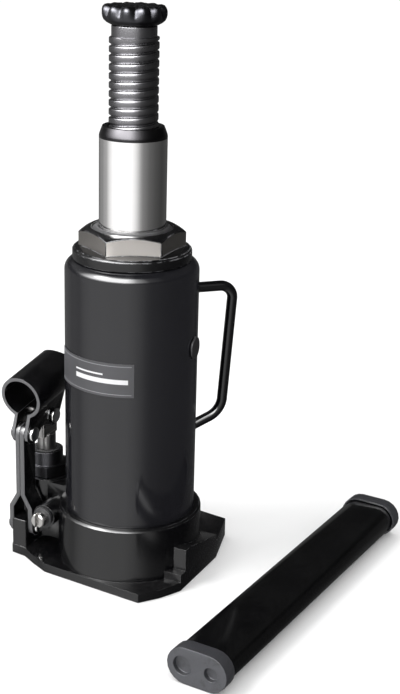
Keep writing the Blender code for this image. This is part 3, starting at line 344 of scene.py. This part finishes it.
# The fine pitted skin of moulded rubber and plastic
def mouldedGrain():
    group, start, end = newGroup("mouldedGrain", [("Grain Scale", 1400)], ["Height", "Tone"])
    place = objectPlace(group)
    cells = node(group, "ShaderNodeTexVoronoi")
    group.links.new(place, cells.inputs["Vector"])
    group.links.new(start.outputs["Grain Scale"], cells.inputs["Scale"])
    group.links.new(cells.outputs["Distance"], end.inputs["Height"])
    group.links.new(noise(group, place, 60.0, 5.0, 0.6), end.inputs["Tone"])
    return group


effects = {
    "paintSkin": paintSkin(),
    "edgeWearAndLitFront": edgeWearAndLitFront(),
    "settledDust": settledDust(),
    "fineScratches": fineScratches(),
    "turnedLines": turnedLines(),
    "mouldedGrain": mouldedGrain(),
}
print("shared effects ready")


# One Principled material being built up in layers
class Finish:
    def __init__(self, name, color, roughness, metallic=0.0):
        self.material = bpy.data.materials.new(name)
        self.material.use_nodes = True
        self.tree = self.material.node_tree
        self.shader = self.tree.nodes["Principled BSDF"]
        self.color = None
        self.plainColor = color
        self.rough = None
        self.height = None
        self.shader.inputs["Base Color"].default_value = (*color, 1)
        self.shader.inputs["Roughness"].default_value = roughness
        self.shader.inputs["Metallic"].default_value = metallic

    def effect(self, name, **values):
        item = node(self.tree, "ShaderNodeGroup", node_tree=effects[name])
        for label, value in values.items():
            item.inputs[label.replace("_", " ")].default_value = value
        return item.outputs

    # Low where the mask is 0 and high where it is 1
    def number(self, low, high, mask):
        item = node(self.tree, "ShaderNodeMapRange")
        item.inputs["To Min"].default_value = low
        item.inputs["To Max"].default_value = high
        self.tree.links.new(mask, item.inputs["Value"])
        return item.outputs[0]

    def tint(self, mask, color):
        mix = node(self.tree, "ShaderNodeMix")
        mix.data_type = "RGBA"
        if self.color is None:
            mix.inputs[6].default_value = (*self.plainColor, 1)
        else:
            self.tree.links.new(self.color, mix.inputs[6])
        mix.inputs[7].default_value = (*color, 1)
        self.tree.links.new(mask, mix.inputs[0])
        self.color = mix.outputs[2]
        return self

    def blendRough(self, mask, level):
        mix = node(self.tree, "ShaderNodeMix")
        mix.data_type = "FLOAT"
        if self.rough is None:
            mix.inputs[2].default_value = self.shader.inputs["Roughness"].default_value
        else:
            self.tree.links.new(self.rough, mix.inputs[2])
        mix.inputs[3].default_value = level
        self.tree.links.new(mask, mix.inputs[0])
        self.rough = mix.outputs[0]
        return self

    def bump(self, height, strength, distance=0.0002):
        item = node(self.tree, "ShaderNodeBump")
        item.inputs["Strength"].default_value = strength
        item.inputs["Distance"].default_value = distance
        self.tree.links.new(height, item.inputs["Height"])
        if self.height is not None:
            self.tree.links.new(self.height, item.inputs["Normal"])
        self.height = item.outputs[0]
        return self

    def done(self):
        for value, socket in ((self.color, "Base Color"), (self.rough, "Roughness"), (self.height, "Normal")):
            if value is not None:
                self.tree.links.new(value, self.shader.inputs[socket])
        return self.material


paintLook = {
    "enamel": (0.0075, 0.0075, 0.0090),
    "enamelLight": (0.0125, 0.0125, 0.0150),
    "black": (0.0018, 0.0018, 0.0022),
    "blackLight": (0.0034, 0.0034, 0.0040),
    "primerAndLitFront": (0.10, 0.10, 0.105),
    "bareSteel": (0.36, 0.35, 0.34),
    "dust": (0.22, 0.215, 0.21),
}


def enamel(name, shade="black", gloss=0.10, peel=0.05, wear=0.35, dust=0.05, peelScale=260):
    paint = Finish(name, paintLook[shade], gloss)
    skin = paint.effect("paintSkin", Gloss=gloss, Peel_Scale=peelScale, Gloss_Change=0.05)
    wornAndLitFront = paint.effect("edgeWearAndLitFront", Amount=wear)["Mask"]
    scratch = paint.effect("fineScratches", Amount=0.22)["Mask"]
    dusty = paint.effect("settledDust", Amount=dust)["Mask"]
    paint.tint(skin["Tone"], paintLook[shade + "Light"])
    # on the socket and links the marked front faces take this primer colour as a painted highlight; on bevels
    # it is real wear
    paint.tint(wornAndLitFront, paintLook["primerAndLitFront"])
    paint.tint(dusty, paintLook["dust"])
    paint.rough = skin["Roughness"]
    paint.blendRough(scratch, 0.42)
    paint.blendRough(dusty, 0.8)
    paint.blendRough(wornAndLitFront, 0.38)
    paint.bump(skin["Height"], peel)
    return paint.done()


def machined(name, color, roughness, lines=0.05, band=0.08, scratches=0.4, wornColor=(0.7, 0.69, 0.67)):
    steel = Finish(name, color, roughness, metallic=1.0)
    turned = steel.effect("turnedLines", Line_Scale=1.0)
    scratch = steel.effect("fineScratches", Amount=scratches)["Mask"]
    wornAndLitFront = steel.effect("edgeWearAndLitFront", Amount=0.6, Patch_Scale=140)["Mask"]
    shade = tuple(part * 0.78 for part in color)
    steel.tint(steel.number(0.0, 0.3, turned["Band"]), shade)
    steel.tint(wornAndLitFront, wornColor)
    steel.rough = steel.number(max(roughness - band, 0.03), roughness + band, turned["Band"])
    steel.blendRough(scratch, roughness + 0.2)
    steel.bump(turned["Height"], lines, 0.00005)
    return steel.done()


# Black phosphated steel with rubbed crests
def phosphate(name, color, roughness, rubbed=2.6):
    steel = Finish(name, color, roughness, metallic=1.0)
    grain = steel.effect("mouldedGrain", Grain_Scale=900)
    wornAndLitFront = steel.effect("edgeWearAndLitFront", Amount=0.62, Patch_Scale=120)["Mask"]
    scratch = steel.effect("fineScratches", Amount=0.5)["Mask"]
    steel.tint(steel.number(0.0, 0.7, grain["Tone"]), tuple(part * 1.9 for part in color))
    steel.tint(wornAndLitFront, tuple(min(part * rubbed, 1) for part in color))
    steel.rough = steel.number(roughness - 0.08, roughness + 0.14, grain["Tone"])
    steel.blendRough(scratch, 0.24)
    steel.bump(grain["Height"], 0.16, 0.00008)
    return steel.done()


def moulded(name, color, roughness, grainScale=1400, grain=0.22, dust=0.25):
    skin = Finish(name, color, roughness)
    pits = skin.effect("mouldedGrain", Grain_Scale=grainScale)
    dusty = skin.effect("settledDust", Amount=dust)["Mask"]
    wornAndLitFront = skin.effect("edgeWearAndLitFront", Amount=0.5, Patch_Scale=110)["Mask"]
    skin.tint(skin.number(0.0, 0.8, pits["Tone"]), tuple(part * 1.35 for part in color))
    # on the near case cap the marked front face takes this lighter colour as a painted highlight; on bevels
    # it is real wear
    skin.tint(wornAndLitFront, tuple(min(part * 2.1, 1) for part in color))
    skin.tint(dusty, (0.20, 0.20, 0.20))
    skin.rough = skin.number(roughness - 0.07, roughness + 0.10, pits["Tone"])
    skin.bump(pits["Height"], grain, 0.00006)
    return skin.done()


finishes = {
    "reservoir": enamel("reservoirEnamel", "enamel", gloss=0.09, peel=0.035, wear=0.2, dust=0.02),
    "casting": enamel("castingEnamel", gloss=0.15, peel=0.16, wear=0.36, dust=0.05, peelScale=150),
    "nut": enamel("nutEnamel", gloss=0.17, peel=0.10, wear=0.40, dust=0.04),
    "nutFlat": machined("nutFlatGlare", (0.30, 0.285, 0.27), 0.36, lines=0.25, band=0.06, scratches=0.8),
    "linkage": enamel("linkageEnamel", gloss=0.20, peel=0.08, wear=0.62, dust=0.03),
    "carry": enamel("carryHandleEnamel", gloss=0.13, peel=0.05, wear=0.2, dust=0.03),
    "ram": machined("polishedRam", (0.93, 0.92, 0.915), 0.12, lines=0.02, band=0.02),
    "ramEnd": machined("darkRamTopBand", (0.035, 0.034, 0.036), 0.30, lines=0.14),
    "screw": phosphate("phosphatedScrew", (0.15, 0.148, 0.155), 0.25, rubbed=1.25),
    "saddle": phosphate("saddleForging", (0.030, 0.030, 0.033), 0.33),
    "steel": machined("machinedSteel", (0.30, 0.295, 0.29), 0.28, lines=0.08),
    "darkSteel": phosphate("blackenedSteel", (0.035, 0.035, 0.038), 0.36),
    "valve": machined("valveSteel", (0.42, 0.41, 0.40), 0.24, lines=0.10),
    "zinc": machined("zincPlate", (0.74, 0.75, 0.76), 0.20, lines=0.10),
    "rubber": moulded("blackRubber", (0.010, 0.010, 0.011), 0.55),
    "plastic": moulded("capPlastic", (0.026, 0.0265, 0.0300), 0.34, grainScale=1100, grain=0.16, dust=0.05),
    "sleeve": moulded("sleeveSkin", (0.0012, 0.0012, 0.0014), 0.13, grainScale=500, grain=0.02, dust=0.02),
    "label": moulded("labelSkin", (0.045, 0.045, 0.049), 0.36, grainScale=1800, grain=0.05, dust=0.0),
    "hairline": moulded("labelHairline", (0.22, 0.22, 0.23), 0.45, grainScale=1800, grain=0.05, dust=0.0),
    "print": moulded("labelPrint", (0.60, 0.60, 0.61), 0.45, grainScale=1800, grain=0.05, dust=0.0),
}
print("finishes ready")


# Turns a bmesh into a piece that stands for a CAD node
def finished(name, shape, materials, cadNode, sharp=34):
    mesh = bpy.data.meshes.new(name)
    shape.to_mesh(mesh)
    shape.free()
    mesh.shade_smooth()
    mesh.set_sharp_from_angle(angle=math.radians(sharp))
    for key in materials:
        mesh.materials.append(finishes[key])
    piece = bpy.data.objects.new(name, mesh)
    bpy.context.scene.collection.objects.link(piece)
    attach(piece, bodyOf[cadNode])
    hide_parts(cadNode)


def outward(shape, merge=0.000002):
    bmesh.ops.remove_doubles(shape, verts=shape.verts, dist=merge)
    bmesh.ops.recalc_face_normals(shape, faces=shape.faces)


# Spins a profile of (radius, height) round Z
def spun(profile, steps, closed=False, angle=360.0, rise=0.0):
    shape = bmesh.new()
    points = [shape.verts.new((radius, 0, height)) for radius, height in profile]
    pairs = list(zip(points, points[1:]))
    if closed:
        pairs.append((points[-1], points[0]))
    edges = [shape.edges.new(pair) for pair in pairs]
    full = angle == 360.0 and rise == 0.0
    bmesh.ops.spin(shape, geom=points + edges, cent=(0, 0, 0), axis=(0, 0, 1), dvec=(0, 0, rise / steps),
                   angle=math.radians(angle), steps=steps, use_merge=full, use_duplicate=False)
    return shape


# Rounds the inner corners of an open profile with short arcs
def rounded(profile, radius, count=4):
    points = [profile[0]]
    for before, corner, after in zip(profile, profile[1:], profile[2:]):
        middle = Vector(corner)
        towards = Vector(before) - middle
        away = Vector(after) - middle
        room = min(radius, towards.length * 0.45, away.length * 0.45)
        first = middle + towards.normalized() * room
        last = middle + away.normalized() * room
        for i in range(count + 1):
            share = i / count
            bend = first.lerp(middle, share).lerp(middle.lerp(last, share), share)
            points.append((bend.x, bend.y))
    points.append(profile[-1])
    return points


def wearLayer(shape):
    return shape.faces.layers.float.get("edgeWearAndLitFront") or shape.faces.layers.float.new("edgeWearAndLitFront")


def markFaces(shape, wanted, level=1.0):
    layer = wearLayer(shape)
    for face in shape.faces:
        if wanted(face):
            face[layer] = level


# angles in degrees, lengths in metres
softLook = {"segments": 3, "bevelAbove": 32, "smoothBelow": 40, "flatBelow": 0.6,
            "shortEdge": 0.00015, "weld": 0.000004}


def bevelEdges(shape, width):
    bmesh.ops.dissolve_degenerate(shape, edges=shape.edges, dist=softLook["shortEdge"])
    bmesh.ops.dissolve_limit(shape, angle_limit=math.radians(softLook["flatBelow"]), verts=shape.verts,
                             edges=shape.edges, use_dissolve_boundaries=False)
    layer = wearLayer(shape)
    sharpest = math.radians(softLook["bevelAbove"])
    sharp = [edge for edge in shape.edges if edge.is_manifold and edge.calc_face_angle() > sharpest]
    made = bmesh.ops.bevel(shape, geom=sharp, offset=width, offset_type="OFFSET",
                           segments=softLook["segments"], profile=0.5, affect="EDGES",
                           clamp_overlap=True, material=-1, loop_slide=True)
    for face in made["faces"]:
        face[layer] = 1.0


def softened(cadNode, name, finish, width, litFrontHighlight=0.0):
    shape = bmesh.new()
    shape.from_mesh(nodes[cadNode].data)
    bmesh.ops.remove_doubles(shape, verts=shape.verts, dist=softLook["weld"])
    bevelEdges(shape, width)
    # faces turned to -Y, towards the camera and key light, are marked in the edge wear layer so they take a
    # lighter colour: a painted highlight
    if litFrontHighlight:
        markFaces(shape, lambda face: face.normal.y < -0.9, litFrontHighlight)
    finished(name, shape, [finish], cadNode, softLook["smoothBelow"])


reservoirLook = {"steps": 192, "shoulder": 0.0065, "wall": 0.003}


def makeReservoir():
    low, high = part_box("reservoir_tube")
    outer = high.x
    top = high.z
    bend = outer - reservoirLook["shoulder"]
    mouth = outer - 0.0097
    wall = reservoirLook["wall"]
    profile = [(mouth, top - wall), (mouth, top), (bend, top)]
    for i in range(1, 13):
        turn = math.radians(90 - 7.5 * i)
        profile.append((bend + reservoirLook["shoulder"] * math.cos(turn),
                        top - reservoirLook["shoulder"] * (1 - math.sin(turn))))
    profile += [(outer, low.z), (outer - wall, low.z), (outer - wall, top - wall - 0.004)]
    shape = spun(profile, reservoirLook["steps"], closed=True)
    outward(shape)
    finished("reservoirTube", shape, ["reservoir"], "reservoir_tube", sharp=50)


ramLook = {"wall": 0.0052, "darkBand": 0.0064}


def makeRam():
    low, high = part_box("ram")
    radius = high.x
    bore = radius - ramLook["wall"]
    top = high.z
    profile = [(0, low.z + 0.026), (bore, low.z + 0.026), (bore, top - 0.0012), (bore + 0.0012, top)]
    groove = bore + 0.0022
    outer = [(bore + 0.0012, top), (groove, top), (groove + 0.0002, top - 0.0006),
             (groove + 0.0007, top - 0.0006),
             (groove + 0.0009, top), (radius - 0.0019, top), (radius - 0.0004, top - 0.0039),
             (radius, top - 0.0052), (radius, top - ramLook["darkBand"]), (radius, low.z + 0.018),
             (0.009, low.z + 0.018), (0.009, low.z), (0, low.z)]
    profile += rounded(outer, 0.0006, 3)[1:]
    shape = spun(profile, 192)
    outward(shape)
    # faces within darkBand of the ram's top take the dark second finish
    for face in shape.faces:
        if face.calc_center_median().z > top - ramLook["darkBand"]:
            face.material_index = 1
    finished("polishedRam", shape, ["ram", "ramEnd"], "ram", sharp=40)


nutLook = {"bevel": 0.0006, "flangeMargin": 0.0015, "flatArea": 0.00012}


# The CAD nut with rounded edges, and a bright satin metal skin on its six flats, a painted reflection
# standing in for glare on the front flat
def makeGlandNut():
    shape = bmesh.new()
    shape.from_mesh(nodes["gland_nut"].data)
    bmesh.ops.remove_doubles(shape, verts=shape.verts, dist=softLook["weld"])
    bevelEdges(shape, nutLook["bevel"])
    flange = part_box("gland_nut")[1].x - nutLook["flangeMargin"]
    for face in shape.faces:
        middle = face.calc_center_median()
        flat = abs(face.normal.z) < 0.08 and face.calc_area() > nutLook["flatArea"]
        flat = flat and middle.xy.length < flange
        # the six flats take the bright metal finish as a painted reflection of glare
        if flat and middle.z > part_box("reservoir_tube")[1].z:
            face.material_index = 1
    finished("glandNut", shape, ["nut", "nutFlat"], "gland_nut", 40)


screwLook = {"pitch": 0.005, "depth": 0.0013, "steps": 96, "neck": 0.0062, "neckStep": 0.0013}


# The thread's edge over whole turns, from below the screw's foot to above its neck
def threadProfile(low, high, crest):
    root = crest - screwLook["depth"]
    form = [(0.00, 0.0), (0.06, 0.10), (0.12, 0.55), (0.17, 0.86), (0.24, 1.0),
            (0.50, 1.0), (0.76, 1.0), (0.83, 0.86), (0.88, 0.55), (0.94, 0.10)]
    turns = math.ceil((high - low) / screwLook["pitch"]) + 1
    points = []
    for turn in range(turns):
        for share, rise in form:
            points.append((root + rise * screwLook["depth"], low + (turn - 1 + share) * screwLook["pitch"]))
    return points


def makeScrew():
    low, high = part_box("extension_screw")
    crest = high.x
    shankTop = high.z
    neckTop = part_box("saddle")[0].z - 0.0003
    threadTop = neckTop - screwLook["neck"]
    profile = threadProfile(low.z, threadTop, crest)
    shape = spun(profile, screwLook["steps"], rise=screwLook["pitch"])
    bmesh.ops.remove_doubles(shape, verts=shape.verts, dist=0.00002)
    for height, side in ((low.z, -1), (threadTop, 1)):
        geometry = shape.verts[:] + shape.edges[:] + shape.faces[:]
        bmesh.ops.bisect_plane(shape, geom=geometry, plane_co=(0, 0, height), plane_no=(0, 0, side),
                               clear_outer=True, dist=0.000001)
        bmesh.ops.holes_fill(shape, edges=[edge for edge in shape.edges if edge.is_boundary], sides=0)
    markFaces(shape, lambda face: face.calc_center_median().xy.length > crest - 0.0003)
    neck = crest - screwLook["neckStep"]
    collar = spun(rounded([(0, threadTop - 0.0004), (neck, threadTop - 0.0004), (neck, neckTop),
                           (0.0075, neckTop), (0.0075, shankTop), (0, shankTop)], 0.0005, 3), 96)
    extra = bpy.data.meshes.new("neck")
    outward(collar)
    collar.to_mesh(extra)
    collar.free()
    shape.from_mesh(extra)
    bpy.data.meshes.remove(extra)
    bmesh.ops.recalc_face_normals(shape, faces=shape.faces)
    finished("extensionScrew", shape, ["screw"], "extension_screw", sharp=50)


saddleLook = {"lobes": 12, "cut": 0.0021, "segments": 192, "hatch": 0.0034, "groove": 0.0008}


# A forged head: a smooth bowl below, knobs round its rim and a hatched top
def makeSaddle():
    low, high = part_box("saddle")
    radius = high.x
    bottom, top = low.z, high.z
    neck = radius - 0.0062
    # radius, height, and how deeply the knobs are cut at that height
    rings = [
        (neck, bottom, 0.0), (neck + 0.0010, bottom + 0.0002, 0.0), (radius - 0.0030, bottom + 0.0013, 0.0),
        (radius - 0.0013, bottom + 0.0028, 0.05), (radius - 0.0004, bottom + 0.0045, 0.30),
        (radius, bottom + 0.0062, 0.75), (radius, bottom + 0.0080, 1.0),
        (radius - 0.0004, bottom + 0.0094, 1.0),
        (radius - 0.0014, bottom + 0.0105, 1.0), (radius - 0.0030, top, 0.9), (radius - 0.0046, top, 0.45),
    ]
    inner = radius - 0.0062
    rings += [(inner - i * inner / 14, top, 0.0) for i in range(13)]
    shape = bmesh.new()
    count = saddleLook["segments"]
    bmesh.ops.create_circle(shape, cap_ends=False, segments=count, radius=1.0)
    edges = shape.edges[:]
    verts = shape.verts[:]
    foot = edges

    def place(ring, points):
        reach, height, cutting = ring
        for vert in points:
            turn = math.atan2(vert.co.y, vert.co.x)
            lobe = (0.5 - 0.5 * math.cos(saddleLook["lobes"] * turn)) ** 0.7
            size = reach - saddleLook["cut"] * cutting * (1 - lobe)
            drop = 0.0010 * cutting * (1 - lobe)
            vert.co = Vector((size * math.cos(turn), size * math.sin(turn), height - drop))

    place(rings[0], verts)
    for ring in rings[1:]:
        grown = bmesh.ops.extrude_edge_only(shape, edges=edges)["geom"]
        verts = [part for part in grown if isinstance(part, bmesh.types.BMVert)]
        edges = [part for part in grown if isinstance(part, bmesh.types.BMEdge)]
        place(ring, verts)
    bmesh.ops.holes_fill(shape, edges=edges, sides=0)
    bmesh.ops.holes_fill(shape, edges=foot, sides=0)
    spacing = saddleLook["hatch"]
    for vert in shape.verts:
        across = math.hypot(vert.co.x, vert.co.y)
        if vert.co.z > top - 0.0004 and 0.003 < across < radius - 0.0035:
            marks = [abs(math.sin(math.pi * (vert.co.x + side * vert.co.y) / spacing / 1.414))
                     for side in (1, -1)]
            vert.co.z -= saddleLook["groove"] * (1 - min(1, min(marks) * 1.8))
    outward(shape)
    markFaces(shape, lambda face: face.calc_center_median().xy.length > radius - 0.0014, 0.4)
    finished("serratedSaddle", shape, ["saddle"], "saddle", sharp=55)


carryLook = {"angle": 45.0, "radius": 0.0032, "bend": 0.008, "slant": 0.0045, "lowBend": 0.014, "sides": 28,
             "beads": 14, "beadRing": 0.0036, "beadSize": 0.0013, "beadChange": 0.0002}


# The rod's centre line as (reach, height), top to bottom
def carryRoute(low, high):
    radius = carryLook["radius"]
    reach = math.hypot(high.x, high.y) - radius * math.sqrt(2)
    top = high.z - radius
    bottom = low.z + radius + 0.0015
    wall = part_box("reservoir_tube")[1].x
    bend = carryLook["bend"]
    lowBend = carryLook["lowBend"]
    points = [(wall + 0.0006, top), (wall + 0.008, top)]
    for i in range(13):
        turn = math.radians(90 - 7.2 * i)
        points.append((reach - bend + bend * math.cos(turn), top - bend + bend * math.sin(turn)))
    middle = reach - carryLook["slant"] - lowBend
    for i in range(15):
        turn = math.radians(-8 - 4.3 * i)
        points.append((middle + lowBend * math.cos(turn), bottom + 0.002 + lowBend * (1 + math.sin(turn))))
    points.append((wall + 0.0006, bottom - 0.0013))
    return points


def makeCarryHandle():
    low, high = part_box("carry_handle")
    turn = math.radians(carryLook["angle"])
    outwardWay = Vector((math.cos(turn), math.sin(turn), 0))
    sideways = Vector((-math.sin(turn), math.cos(turn), 0))
    route = [outwardWay * reach + Vector((0, 0, height)) for reach, height in carryRoute(low, high)]
    shape = bmesh.new()
    rings = []
    for i, point in enumerate(route):
        along = (route[min(i + 1, len(route) - 1)] - route[max(i - 1, 0)]).normalized()
        other = along.cross(sideways)
        turnTo = Matrix((sideways, other, along)).transposed().to_4x4()
        made = bmesh.ops.create_circle(shape, cap_ends=False, segments=carryLook["sides"],
                                       radius=carryLook["radius"],
                                       matrix=Matrix.Translation(point) @ turnTo)
        rings.append(made["verts"])
    for first, second in zip(rings, rings[1:]):
        loops = [edge for edge in shape.edges if edge.verts[0] in first and edge.verts[1] in first]
        loops += [edge for edge in shape.edges if edge.verts[0] in second and edge.verts[1] in second]
        bmesh.ops.bridge_loops(shape, edges=loops)
    bmesh.ops.holes_fill(shape, edges=[edge for edge in shape.edges if edge.is_boundary], sides=0)
    # a bead of weld where each end meets the wall
    for end in (route[0], route[-1]):
        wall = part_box("reservoir_tube")[1].x
        place = Vector((outwardWay.x * wall, outwardWay.y * wall, end.z))
        for i in range(carryLook["beads"]):
            way = math.radians(i * 360 / carryLook["beads"])
            ring = carryLook["beadRing"]
            spot = place + sideways * ring * math.cos(way) + Vector((0, 0, ring * math.sin(way)))
            size = carryLook["beadSize"] + carryLook["beadChange"] * math.sin(i * 2.3)
            bmesh.ops.create_icosphere(shape, subdivisions=2, radius=size,
                                       matrix=Matrix.Translation(spot))
    outward(shape, 0.0000005)
    finished("carryHandle", shape, ["carry"], "carry_handle", sharp=50)


labelLook = {"start": 218.2, "end": 301.1, "thickness": 0.00042, "print": 0.00006, "gap": 0.00015,
             "margin": 0.0014, "line": 0.00035, "barRise": 0.002, "barStart": 0.34}


# A thin curved plate on the reservoir's wall
def labelShell(shape, radius, thickness, start, span, low, high, steps, index):
    part = spun([(radius, low), (radius + thickness, low), (radius + thickness, high), (radius, high)],
                steps, closed=True, angle=span)
    bmesh.ops.holes_fill(part, edges=[edge for edge in part.edges if edge.is_boundary], sides=0)
    outward(part)
    turn = Matrix.Rotation(math.radians(start), 3, "Z")
    bmesh.ops.rotate(part, verts=part.verts, cent=(0, 0, 0), matrix=turn)
    for face in part.faces:
        face.material_index = index
    mesh = bpy.data.meshes.new("labelShell")
    part.to_mesh(mesh)
    part.free()
    shape.from_mesh(mesh)
    bpy.data.meshes.remove(mesh)


def makeLabel():
    low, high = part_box("label_plate")
    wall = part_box("reservoir_tube")[1].x + labelLook["gap"]
    ink = labelLook["print"]
    start = labelLook["start"]
    span = labelLook["end"] - start
    thick = labelLook["thickness"]
    shape = bmesh.new()
    labelShell(shape, wall, thick, start, span, low.z, high.z, 48, 0)
    margin = labelLook["margin"]
    turn = math.degrees(margin / wall)
    line = labelLook["line"]
    face = wall + thick
    for base in (low.z + margin, high.z - margin - line):
        labelShell(shape, face, ink, start + turn, span - 2 * turn, base, base + line, 44, 1)
    middle = (low.z + high.z) / 2 + labelLook["barRise"]
    barStart = start + span * labelLook["barStart"]
    labelShell(shape, face, ink, barStart, span * 0.60, middle - 0.0042, middle - 0.0014, 36, 2)
    labelShell(shape, face, ink, barStart, span * 0.34, middle + 0.0006, middle + 0.0016, 24, 2)
    finished("blankLabel", shape, ["label", "hairline", "print"], "label_plate", sharp=40)


softWidths = {
    # node: (piece name, finish, bevel width, strength of the painted highlight on its faces turned to -Y)
    "base": ("castBase", "casting", 0.0009),
    "ram_wiper": ("ramWiper", "rubber", 0.0003),
    "handle_socket": ("handleSocket", "linkage", 0.0005, 1.0),
    "link_left": ("linkLeft", "linkage", 0.0005, 0.8),
    "link_right": ("linkRight", "linkage", 0.0005, 0.8),
    "lug_pin": ("lugPin", "zinc", 0.0003),
    "link_pin": ("linkPin", "zinc", 0.0003),
    "plunger_pin": ("plungerPin", "zinc", 0.0003),
    "pump_barrel": ("pumpBarrel", "darkSteel", 0.0005),
    "plunger": ("pumpPlunger", "steel", 0.0004),
    "release_valve": ("releaseValve", "valve", 0.0003),
    "oil_filler_plug": ("oilFillerPlug", "rubber", 0.0005),
    "case_cap_near": ("caseCapNear", "plastic", 0.0009, 1.0),
    "case_cap_far": ("caseCapFar", "plastic", 0.0009),
    "case_sleeve": ("caseSleeve", "sleeve", 0.0003),
    "handle_tube": ("handleTube", "darkSteel", 0.0003),
    "handle_rod": ("handleRod", "darkSteel", 0.0003),
}

makeReservoir()
makeRam()
makeScrew()
makeSaddle()
makeCarryHandle()
makeLabel()
makeGlandNut()
for cadName, settings in softWidths.items():
    softened(cadName, *settings)
print("pieces ready")

# inner pieces keep their CAD mesh and get a finish
slotFinish = {
    "cast_black": "casting", "gloss_black": "reservoir", "sleeve_gloss": "sleeve", "polished_steel": "ram",
    "plain_steel": "steel", "dark_steel": "darkSteel", "zinc": "zinc", "rubber": "rubber",
    "plastic": "plastic", "label": "label",
}
for name, item in nodes.items():
    item.data.materials.clear()
    item.data.materials.append(finishes[slotFinish[slotOf[name]]])
print("finishes assigned")
